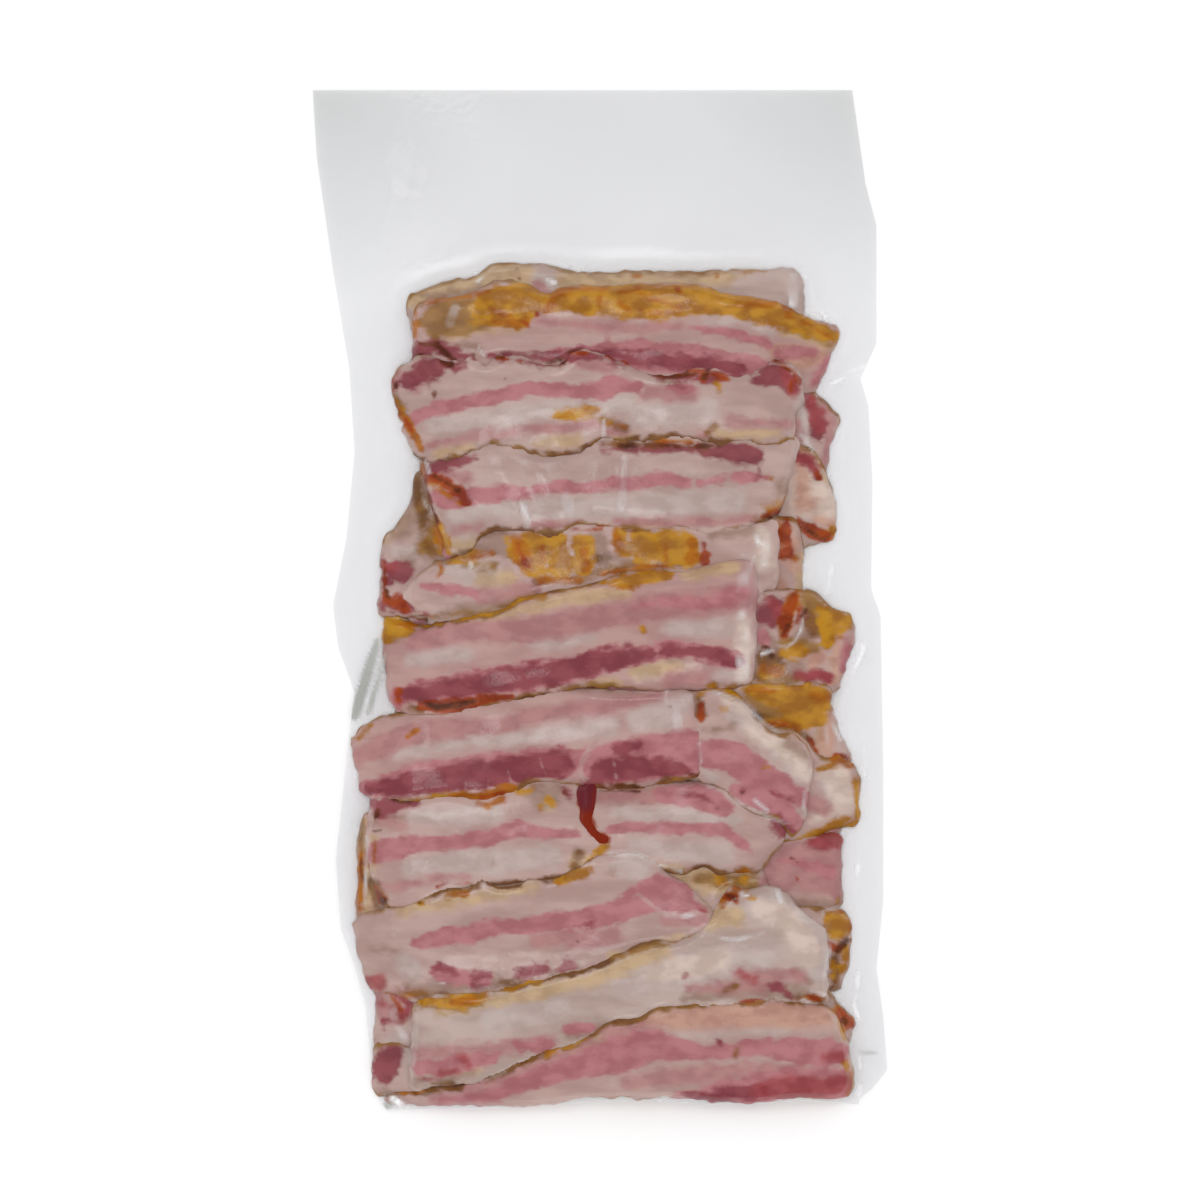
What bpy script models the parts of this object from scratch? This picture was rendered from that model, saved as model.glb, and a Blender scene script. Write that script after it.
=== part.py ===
"""Bacon pack: thick-cut streaky bacon, shingled in rows, in a clear vacuum pouch that lies flat.

The pouch is drawn tight over its contents, so the whole pack is one solid. Its top is the film
as it hugs the pile of slices, its underside is the flat that the pack rests on, and round the
contents the two films meet in a thin, slightly wavy margin. The mouth of the pouch is at +Y.
The pile is built the way the pack was filled, by laying each slice on the ones below it.
"""
import bmesh
import bpy
import numpy as np

MM = 0.001

# The grid that the films are drawn on.
COLUMNS = 116
ROWS = 210
CELL = 1.8 * MM

# Pouch: half its length, the thickness of the two welded films, and the height of the margin.
HALF_LENGTH = 189 * MM
MARGIN_THICKNESS = 0.8 * MM
MARGIN_AT_EDGE = 0.9 * MM
MARGIN_AT_CONTENTS = 7.5 * MM
MARGIN_WAVE = 1.1 * MM
MARGIN_REACH = 26 * MM
TRIANGLE_SHARE = 0.096

# Sides and bottom of the flat pouch, as (x, y) in millimetres, from the mouth down and from left
# to right. The film is pulled in beside the gaps in the pile, and bows out beside long slices.
LEFT_SIDE = ((-106.5, 189), (-105, 164), (-99, 122), (-93, 86), (-91, 55), (-94, 23), (-99, -2),
             (-97, -18), (-91, -34), (-93, -50), (-96, -78), (-98, -96), (-96, -122), (-92, -133),
             (-87, -150), (-84, -182), (-79, -189))
RIGHT_SIDE = ((93.5, 189), (98.5, 154), (102.5, 139), (102.5, 95), (96.5, 82), (99.5, 72),
              (101, 44), (100.5, 4), (104, -6), (105, -62), (105, -112), (102.5, -138),
              (105, -156), (106.5, -176), (101, -183), (96, -187))
BOTTOM = ((-79, -189), (-45, -188.5), (-10, -186.5), (15, -185), (39, -187), (78, -185.5), (96, -187))

# Slices
SLICE_THICKNESS = 4.2 * MM
SLICE_CORNER = 5 * MM
EDGE_ROUNDING = 2.6 * MM
BEND_REACH = 7 * MM
CONTENTS_FOOT = -184.5 * MM
FILM_REACH = 2 * MM
SIDE_REACH = 6 * MM
BELLY_REACH = 8 * MM

# The bottom layer lies edge to edge, so it is one sheet. The others are one slice a row, in the
# order they were laid: the middle of the slice, its length, its width at the left and right ends
# and the rise of its arched middle, in millimetres, and its turn in degrees.
BOTTOM_LAYER = (4, -32, 148, 300, 300, 0, 0)
BURIED_SLICES = (
    (2, 100, 146, 38, 38, 0, 3), (12, 63, 152, 38, 34, 0, -2), (10, 34, 152, 40, 38, 0, -3),
    (-8, 8, 150, 44, 40, 0, -3), (22, -18, 146, 36, 38, 0, 0), (14, -50, 148, 38, 38, 0, -2),
    (16, -72, 160, 36, 34, 0, -1), (3, -97, 176, 38, 36, 0, -3), (8, -127, 172, 34, 34, 0, -2),
    (2, -154, 178, 34, 34, 0, -1), (2, -174, 174, 26, 26, 0, 0),
)
CENTRE_SLICES = (
    (4, 96, 140, 38, 36, 0, -2), (6, 62, 138, 36, 36, 0, 4), (2, 26, 138, 36, 36, 0, -3),
    (2, -10, 142, 38, 36, 0, 5), (0, -48, 150, 38, 36, 0, 3), (-4, -84, 156, 36, 38, 0, 1),
    (0, -120, 158, 36, 36, 0, 6), (4, -156, 160, 36, 36, 0, 5),
)
TOP_SLICES = (
    (1.5, 103, 150, 38, 38, 2, 2.5),
    (8, 93, 158, 40, 36, 6, -4),
    (2, 14, 148, 38, 36, 0, 3),
    (10, 41, 148, 38, 34, 3, 2),
    (0, 72, 152, 36, 34, 3, 1.5),
    (-8, -91, 154, 38, 32, 7, 1),
    (57, -64, 66, 32, 30, 0, -33),
    (-27, -54, 130, 34, 40, 1, 6),
    (-10, -13, 140, 37, 46, 1, 6),
    (-27, -120, 128, 38, 30, 0, 13),
    (3, -147, 156, 38, 38, 0, 13),
    (15, -172, 160, 26, 38, 0, 8),
)

# Material
FILM_COLOUR = (0.55, 0.33, 0.29, 1.0)
FILM_ROUGHNESS = 0.22


def blur(field, reach):
    """Average a field over a square of the given reach, twice, so that a step becomes a ramp."""
    cells = max(1, round(reach / CELL))
    weights = np.full(2 * cells + 1, 1 / (2 * cells + 1))
    for axis in (0, 1, 0, 1):
        border = [(0, 0), (0, 0)]
        border[axis] = (cells, cells)
        padded = np.pad(field, border, mode="edge")
        field = np.apply_along_axis(np.convolve, axis, padded, weights, mode="valid")
    return field


def curve_through(points, along, across):
    """A smooth curve through points in millimetres: the value across for each place along."""
    table = np.array(sorted(points, key=lambda point: point[along])) * MM
    return lambda place: np.interp(place, table[:, along], table[:, across])


def pouch_grid():
    """Places of the film grid's points in the flat pouch, as arrays of x and y by row, column."""
    v, u = np.meshgrid(np.linspace(0, 1, ROWS + 1), np.linspace(0, 1, COLUMNS + 1), indexing="ij")
    left = curve_through(LEFT_SIDE, 1, 0)
    right = curve_through(RIGHT_SIDE, 1, 0)
    foot = curve_through(BOTTOM, 0, 1)
    straight_y = -HALF_LENGTH + 2 * HALF_LENGTH * v
    x = left(straight_y) * (1 - u) + right(straight_y) * u
    y = straight_y + (foot(x) + HALF_LENGTH) * (1 - v) ** 3
    return x, y


def depth_inside(x, y, piece):
    """How far each place lies inside a slice, in metres, negative outside it."""
    middle_x, middle_y, length, left_width, right_width, arch, turn = piece
    angle = np.radians(turn)
    dx = x - middle_x * MM
    dy = y - middle_y * MM
    along = dx * np.cos(angle) + dy * np.sin(angle)
    across = dy * np.cos(angle) - dx * np.sin(angle)
    share = np.clip(along / (length * MM) + 0.5, 0, 1)
    across = across - arch * MM * (1 - (2 * share - 1) ** 2)
    half_width = (left_width + (right_width - left_width) * share) * MM / 2
    past_end = np.abs(along) - length * MM / 2 + SLICE_CORNER
    past_edge = np.abs(across) - half_width + SLICE_CORNER
    outside = np.hypot(np.maximum(past_end, 0), np.maximum(past_edge, 0))
    return np.minimum(SLICE_CORNER - outside - np.minimum(np.maximum(past_end, past_edge), 0),
                      y - CONTENTS_FOOT)


def lay_slice(pile, depth):
    """Lay one limp slice on the pile: it bends over what is under it, and its edges are round."""
    edge = np.clip(depth / EDGE_ROUNDING, 0, 1)
    top = blur(pile, BEND_REACH) + SLICE_THICKNESS * np.sqrt(edge * (2 - edge))
    return np.where(depth > 0, np.maximum(top, pile), pile)


def fill_pouch(x, y):
    """The piled slices: their height above the table at each place, and how far inside it is."""
    pile = np.zeros_like(x)
    inside = np.full_like(x, -np.inf)
    for piece in (BOTTOM_LAYER,) + BURIED_SLICES + CENTRE_SLICES + TOP_SLICES:
        depth = depth_inside(x, y, piece)
        pile = lay_slice(pile, depth)
        inside = np.maximum(inside, depth)
    return pile, inside


def films(x, y, pile, inside):
    """Heights of the upper and lower film, drawn onto the pile and together round it."""
    nearness = blur(np.clip(1 + inside / MARGIN_REACH, 0, 1), SIDE_REACH)
    ripple = np.sin(x / (13 * MM) + 2 * np.sin(y / (31 * MM))) * np.sin(y / (21 * MM) + 1)
    margin = MARGIN_AT_EDGE + (MARGIN_AT_CONTENTS - MARGIN_AT_EDGE) * nearness ** 3
    margin = margin + MARGIN_WAVE * (0.6 + 0.4 * ripple) * (1 - nearness)
    draped = np.where(inside > 0, np.maximum(pile, margin), margin)
    draped = np.maximum(draped, blur(draped, FILM_REACH))
    side = np.clip(1 + inside / SIDE_REACH, 0, 1)
    upper = margin + (draped - margin) * side ** 2
    belly = np.clip(blur(inside, FILM_REACH) / BELLY_REACH, 0, 1)
    lower = (margin - MARGIN_THICKNESS) * (1 - np.sqrt(belly * (2 - belly)))
    return np.maximum(upper, lower + MARGIN_THICKNESS), np.maximum(lower, 0)


def make_pouch(collection, material):
    """One closed solid: a flat grid extruded to two sheets, which are moved to the films."""
    x, y = pouch_grid()
    upper, lower = films(x, y, *fill_pouch(x, y))
    shape = bmesh.new()
    bmesh.ops.create_grid(shape, x_segments=COLUMNS, y_segments=ROWS, size=0.5)
    raised = bmesh.ops.extrude_face_region(shape, geom=shape.faces[:])["geom"]
    above = {item for item in raised if isinstance(item, bmesh.types.BMVert)}
    for vertex in shape.verts:
        column = round((vertex.co.x + 0.5) * COLUMNS)
        row = round((vertex.co.y + 0.5) * ROWS)
        height = upper if vertex in above else lower
        vertex.co = (x[row, column], y[row, column], height[row, column])
    bmesh.ops.recalc_face_normals(shape, faces=shape.faces[:])
    mesh = bpy.data.meshes.new("sealed_pouch")
    shape.to_mesh(mesh)
    shape.free()
    mesh.materials.append(material)
    mesh.shade_smooth()
    pouch = bpy.data.objects.new("sealed_pouch", mesh)
    collection.objects.link(pouch)
    thin = pouch.modifiers.new("fewer facets where flat", "DECIMATE")
    thin.ratio = TRIANGLE_SHARE
    return pouch


def make_material():
    """The pack as one finish: glossy film with pink and white bacon close under it."""
    material = bpy.data.materials.new("glossy film over streaky bacon")
    material.use_nodes = True
    surface = material.node_tree.nodes["Principled BSDF"]
    surface.inputs["Base Color"].default_value = FILM_COLOUR
    surface.inputs["Roughness"].default_value = FILM_ROUGHNESS
    return material


def main():
    for item in list(bpy.data.objects):
        bpy.data.objects.remove(item, do_unlink=True)
    collection = bpy.data.collections.new("bacon pack")
    bpy.context.scene.collection.children.link(collection)
    make_pouch(collection, make_material())


main()
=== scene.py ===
"""Looks of the bacon pack: streaky bacon shingled in rows, in a clear vacuum pouch that lies flat.

Every slice is a limp slab of its own, laid on the ones below it, so that edges, steps and hidden
ends are real. The films are two sheets drawn onto the finished pile. Tables are in millimetres,
in the frame's own axes: +X to the right, +Y to the mouth of the pouch, +Z up.
"""
import math

import bpy
import numpy as np
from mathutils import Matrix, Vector


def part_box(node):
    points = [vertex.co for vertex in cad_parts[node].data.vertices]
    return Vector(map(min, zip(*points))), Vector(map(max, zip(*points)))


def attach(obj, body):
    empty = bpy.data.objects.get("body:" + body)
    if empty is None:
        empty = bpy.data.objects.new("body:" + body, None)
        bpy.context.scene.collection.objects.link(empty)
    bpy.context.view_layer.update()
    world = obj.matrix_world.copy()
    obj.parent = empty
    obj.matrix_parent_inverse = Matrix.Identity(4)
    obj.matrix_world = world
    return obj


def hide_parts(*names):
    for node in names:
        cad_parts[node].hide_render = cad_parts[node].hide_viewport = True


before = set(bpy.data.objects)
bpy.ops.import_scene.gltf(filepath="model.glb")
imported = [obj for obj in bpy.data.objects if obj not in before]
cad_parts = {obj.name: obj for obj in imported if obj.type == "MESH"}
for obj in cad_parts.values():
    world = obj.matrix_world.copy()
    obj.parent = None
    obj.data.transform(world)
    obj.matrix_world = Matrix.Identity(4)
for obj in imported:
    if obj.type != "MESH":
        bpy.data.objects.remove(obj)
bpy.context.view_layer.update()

MM = 0.001
LOW, HIGH = [[round(value / MM, 1) for value in corner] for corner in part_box("sealed_pouch")]

# ---------------------------------------------------------------------------------------------
# Sizes
# ---------------------------------------------------------------------------------------------
CELL = 0.8                 # spacing of the plan on which the pile grows
VISIBLE_STEP = 0.75        # spacing of a shown slice's points
END_STEP = 1.2             # of a slice of which only an end shows
HIDDEN_STEP = 2.4          # and of one that shows from the sides and from below
SLICE_THICKNESS = 3.6
HIDDEN_THICKNESS = 3.5
SQUEEZED_THICKNESS = 0.8   # least thickness where the pack presses a slice over a step
RIM_SHARE = 0.12           # height of a slice's cut edge, as a share of its thickness
ROUNDING = 3.2             # how far in from its cut edge a slice is rounded
END_CORNER = 3.5           # radius of the corners at its ends
END_SWELL = 12             # how far in from its ends their swelling reaches
TOUCH = 0.8                # how closely its underside follows the pile
BEND = 7.0                 # how gently its upper side does
TABLE_GAP = 0.45           # lowest meat above the table, room for the lower film
SLICE_GAP = 0.06           # between a slice and the pile
DRIP_THICKNESS = 0.5       # of the dried juice

FILM_STEP = 0.92           # spacing of the upper film's points
BACK_FILM_STEP = 1.5       # and of the lower film's
FILM_CLEARANCE = 0.28      # between a film and the contents
FILM_SLACK = 7             # how many rounds of smoothing draw it over hollows
LOWEST_FILM = 0.06         # film above the table
MARGIN_AT_EDGE = 0.9       # height of the upper film at the pouch's sides
MARGIN_AT_CONTENTS = 5.0   # and where it meets the contents
MARGIN_WAVE = 1.1          # height of its waves
CREASE_HEIGHT = 0.3        # of a narrow crease
NARROW = 3                 # half width under which a milky place is a crease
MARGIN_MILK_AND_LIGHT = 0.35         # how milky white the film is painted next to the contents, partly painted light that lifts the shade there
MOUTH_GREY = 0.08          # how grey the empty mouth is where its two films lie on each other
MOUTH_START = 110          # where this grey begins
MOUTH_FADE = 80            # how far it takes to reach its full strength
FOLD_COVER = 0.75          # how much a grey fold hides
FILM_SHINE = 0.03          # how much the film mirrors when seen squarely
EDGE_SHINE = 0.35          # and how much more at a grazing angle
RAY_START = 0.2            # metres from the table to where the rays that find the contents start

# Sides and foot of the flat pouch, from the mouth down and from left to right.
LEFT_SIDE = ((LOW[0], HIGH[1]), (-105, 164), (-99, 122), (-93, 86), (-91, 55), (-94, 23), (-99, -2),
             (-97, -18), (-91, -34), (-93, -50), (-96, -78), (-98, -96), (-96, -122), (-92, -133),
             (-87, -150), (-84, -182), (-79, LOW[1]))
RIGHT_SIDE = ((93.5, HIGH[1]), (98.5, 154), (102.5, 139), (102.5, 95), (96.5, 82), (99.5, 72),
              (101, 44), (100.5, 4), (104, -6), (105, -62), (105, -112), (102.5, -138),
              (105, -156), (106.5, -176), (101, -183), (96, -187))
FOOT = ((-79, -189), (-45, -188.5), (-10, -186.5), (15, -185), (39, -187), (78, -185.5), (96, -187))

# Creases and whitened places in the film, most of them painted highlights where it catches light:
# how milky each is, and places on its middle with its half width.
CREASES = (
    (0.15, (-74, 165, 5), (-71, 156, 7)), (0.06, (-72, 148, 6), (-75, 126, 7)),
    (0.35, (-29, 37, 1), (-26.5, 27.5, 1.3)), (0.35, (-22, 47, 0.5), (-18.5, 40, 0.6)),
    (0.25, (-26, 41, 0.8), (-23.5, 37.5, 0.6)), (0.35, (-48.5, 38, 0.5), (-45, 34, 0.6)),
    (0.15, (9, 52, 1.2), (8, 34, 1.4)), (0.12, (-12, 38, 2), (-12, 30, 2)),
    (0.15, (29, 44, 0.8), (30, 33, 1)), (0.5, (-64.5, 51.5, 0.2), (-63, 47, 0.3)),
    (0.45, (-66, 41, 0.3), (-65, 36, 0.3), (-62.6, 32, 0.2)), (0.7, (-48, 13.4, 0.6), (-47.6, 12.6, 0.5)),
    (0.6, (57.6, 25, 0.5), (58.6, 21.5, 0.8), (61, 20, 0.6)), (0.25, (61.5, 26, 1.2), (61, 14, 1.4)),
    (0.3, (57, 16, 0.3), (55, 10, 0.3)), (0.2, (53, 15, 2), (53, -5, 2)),
    (0.3, (52, -6, 2.4), (53, -29, 2)), (0.12, (57.4, 8, 0.3), (57.4, -24, 0.3)),
    (0.55, (65, -12, 0.2), (66, -16.6, 0.3), (69, -17.4, 0.3), (72, -15.5, 0.3), (74.5, -11, 0.3),
     (75, -7, 0.2)), (0.5, (60, -20, 0.5), (64, -18.6, 0.3)), (0.35, (36.6, -53, 0.4), (37.4, -60, 0.5)),
    (0.2, (27, -34, 1.4), (29, -47, 1.6)), (0.3, (24.4, -34, 0.5), (24.6, -38, 0.6)),
    (0.3, (40, -33, 0.2), (46, -35.2, 0.4), (52, -37.4, 0.5), (57, -42, 0.5), (61, -46, 0.6),
     (65, -48.4, 0.6), (71, -48.6, 0.3)),
    (0.22, (40, -69, 0.3), (45, -71, 0.3), (50, -74.6, 0.6), (54, -76.4, 0.6), (59, -78.8, 0.6),
     (64, -81, 0.5), (70, -83, 0.3)), (0.7, (51, -75, 0.5), (53, -75.6, 0.5)),
    (0.4, (57, -74, 0.4), (62, -78, 0.5)), (0.45, (76, -71, 0.4), (75.4, -76, 0.4), (76, -80, 0.3)),
    (0.4, (86, -33, 0.6), (86.4, -46, 0.6), (89, -52, 0.4)), (0.15, (83.4, -42, 0.5), (84.4, -57, 0.6)),
    (0.3, (22, -98, 0.4), (30, -100.4, 0.5)), (0.2, (4, -93.8, 0.5), (14, -94.2, 0.7), (20, -97, 0.6)),
    (0.3, (24, -116.6, 0.6), (30, -117.2, 0.7), (35, -116.6, 0.5)),
    (0.28, (39, -122.6, 0.4), (44, -125, 0.5), (51, -125.6, 0.6), (58, -124, 0.5), (63.6, -121, 0.4),
     (64.6, -117, 0.3)), (0.3, (61.6, -106, 0.4), (65.6, -107.6, 0.9), (67, -111.5, 0.7)),
    (0.4, (71, -113.6, 0.4), (76, -118.6, 0.5), (80, -121, 0.4)),
    (0.6, (82, -118, 0.3), (83, -115, 0.4), (89, -114.2, 0.4)),
    (0.3, (84.6, -120, 0.5), (85, -130, 0.6), (83, -139, 0.6)),
    (0.75, (52, -108.6, 0.4), (54.6, -109.4, 0.3)), (0.6, (74.6, -147.6, 0.2), (80.6, -150, 0.3)),
    (0.6, (78, -144.6, 0.3), (83, -146, 0.4)),
    (0.15, (-78.6, -149, 0.6), (-76, -156, 0.8), (-72.4, -162, 1.2), (-69.4, -168, 1), (-69.2, -173, 0.8)),
    (0.3, (-76.6, -146.4, 0.3), (-72.4, -150.6, 0.3)), (0.7, (-62.4, -142, 0.1), (-57.4, -141.6, 0.1)),
    (0.8, (-76.6, -185, 1), (-72.4, -187.4, 1)), (0.4, (-86.4, -88, 0.5), (-87, -112, 0.5)),
    (0.8, (-19.6, 118.4, 0.9), (-16.6, 117.6, 0.7)), (0.5, (72, 120, 1.2), (71.6, 110, 1.5)),
    (0.4, (-45.4, 118, 0.6), (-42.6, 120.4, 0.6)), (0.14, (-53.6, 108, 1.4), (-55.4, 103, 1.8)),
    (0.3, (-45, 93.6, 0.2), (-42.6, 90, 0.2)), (0.4, (1.4, 66.6, 0.4), (1.4, 60.6, 0.4)),
    (0.15, (75, 76, 0.6), (76, 66, 1.2), (76.4, 58, 0.8)), (0.4, (74, 62, 0.3), (79, 55.4, 0.2)),
    (0.5, (75, 121.6, 0.5), (80, 112, 0.6), (84, 104, 0.4)),
    (0.6, (101, 86.6, 0.6), (94, 84.4, 0.8), (86, 80, 0.8), (80.4, 75.6, 0.5)),
    (0.45, (89, 79, 0.3), (86, 74, 0.4)), (0.35, (-84.6, -30, 0.4), (-87.8, -43, 0.4)),
    (0.5, (96, -138, 0.8), (94, -150, 0.6), (97, -158, 0.6)),
    (0.5, (95.6, -166, 0.6), (97, -176, 0.8), (96, -184, 0.6)), (0.5, (86, 12, 0.6), (84, 2, 0.5)),
    (0.4, (96, -6, 0.6), (97.6, -18, 0.8), (94, -27, 0.6)), (0.4, (98, -52, 0.6), (98, -82, 0.8)),
    (0.35, (96, -92, 0.8), (95, -112, 0.8)), (0.45, (103, -167, 0.6), (106, -170, 0.5)),
)

# Where the film is folded double its grey is painted shade: places on each fold's middle with its half
# width.
FOLDS = (
    ((-82.4, -15, 0.5), (-85, -23, 1.1), (-88, -33, 1.2), (-91, -43, 1.2)),
    ((-79.6, -20, 0.1), (-82.2, -30, 0.3), (-86, -42, 0.4)),
    ((-75.6, -184.6, 0.5), (-80, -188.4, 0.7)),
    ((96, -167.4, -0.1), (103, -168.2, -0.2)),
)

# ---------------------------------------------------------------------------------------------
# Paints
# ---------------------------------------------------------------------------------------------
# How each kind of streak is painted, from the fat up: two colours that its grain mixes, how far it
# fades outside and inside its outline and how ragged that is, in millimetres, and how much it covers.
PAINTS = (
    ("white", "b8a49d", "c8b8b2", 2.6, 1.8, 0.6, 0.7),     # firm white fat, and in places a painted highlight
    ("cream", "c8b1a4", "ddc8bb", 2.6, 1.8, 0.6, 0.85),    # soft fat, palest of all, and in places a painted highlight
    ("tan", "b4956e", "ccad83", 2.4, 1.8, 0.8, 0.8),       # fat that smoke has tinted
    ("peach", "b48472", "c89c88", 2.4, 1.8, 0.8, 0.85),    # fat that the cure has tinted
    ("dull", "846250", "9a7c6c", 2.6, 1.8, 0.9, 0.7),      # painted shade: fat darkened grey-brown where a hollow or a step shades it
    ("blush", "a87273", "b88482", 2.2, 1.6, 0.8, 0.85),    # fat over lean that shines through
    ("lean", "aa686c", "bc7c80", 1.1, 0.8, 0.7, 0.96),     # pink lean
    ("deep", "823640", "94464e", 1.4, 1.2, 0.9, 0.93),     # dark lean, and in places painted shade
    ("vein", "b08684", "c09c98", 0.9, 0.6, 0.5, 0.7),      # a line of fat in lean
    ("olive", "8a612e", "a0743a", 1.6, 1.4, 0.7, 0.9),     # painted shade on smoked rind: the rind darker and duller
    ("brown", "6e4418", "8a5c24", 1.8, 1.3, 0.6, 0.9),     # smoked rind, dark, and in places painted shade
    ("gold", "a06606", "c28a16", 1.3, 1.0, 0.8, 0.95),     # smoked rind, bright
    ("amber", "985002", "b46a04", 1.2, 0.9, 0.6, 0.92),    # juice on smoked rind
    ("red", "943a3e", "aa4e50", 1.8, 1.2, 0.5, 0.85),      # raw red of a cut end
    ("rust", "862a04", "a8440a", 1.0, 0.6, 0.5, 0.92),     # dried juice
    ("char", "4a1c06", "70340e", 1.0, 0.5, 0.4, 0.9),      # the darkest line of a smoked edge, and in places a painted shadow
)
STREAKS = tuple(paint[0] for paint in PAINTS)
FIRST_RIND_PAINT = "olive"     # the browned edges lie under this one and over the ones before it

# ---------------------------------------------------------------------------------------------
# The slices
# ---------------------------------------------------------------------------------------------
# upper and lower: places on a slice's two long edges, from its left end to its right end.
# bulge: how far its ends swell out. ragged: how uneven its edges are. tone: 0 for white fat, 1 for
# pink fat. crust: how browned the upper and the lower edge are, at even steps along them. The other
# words are kinds of streak, and each holds a list of streaks. A streak is a row of places on its
# middle, each with its half width.

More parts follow.
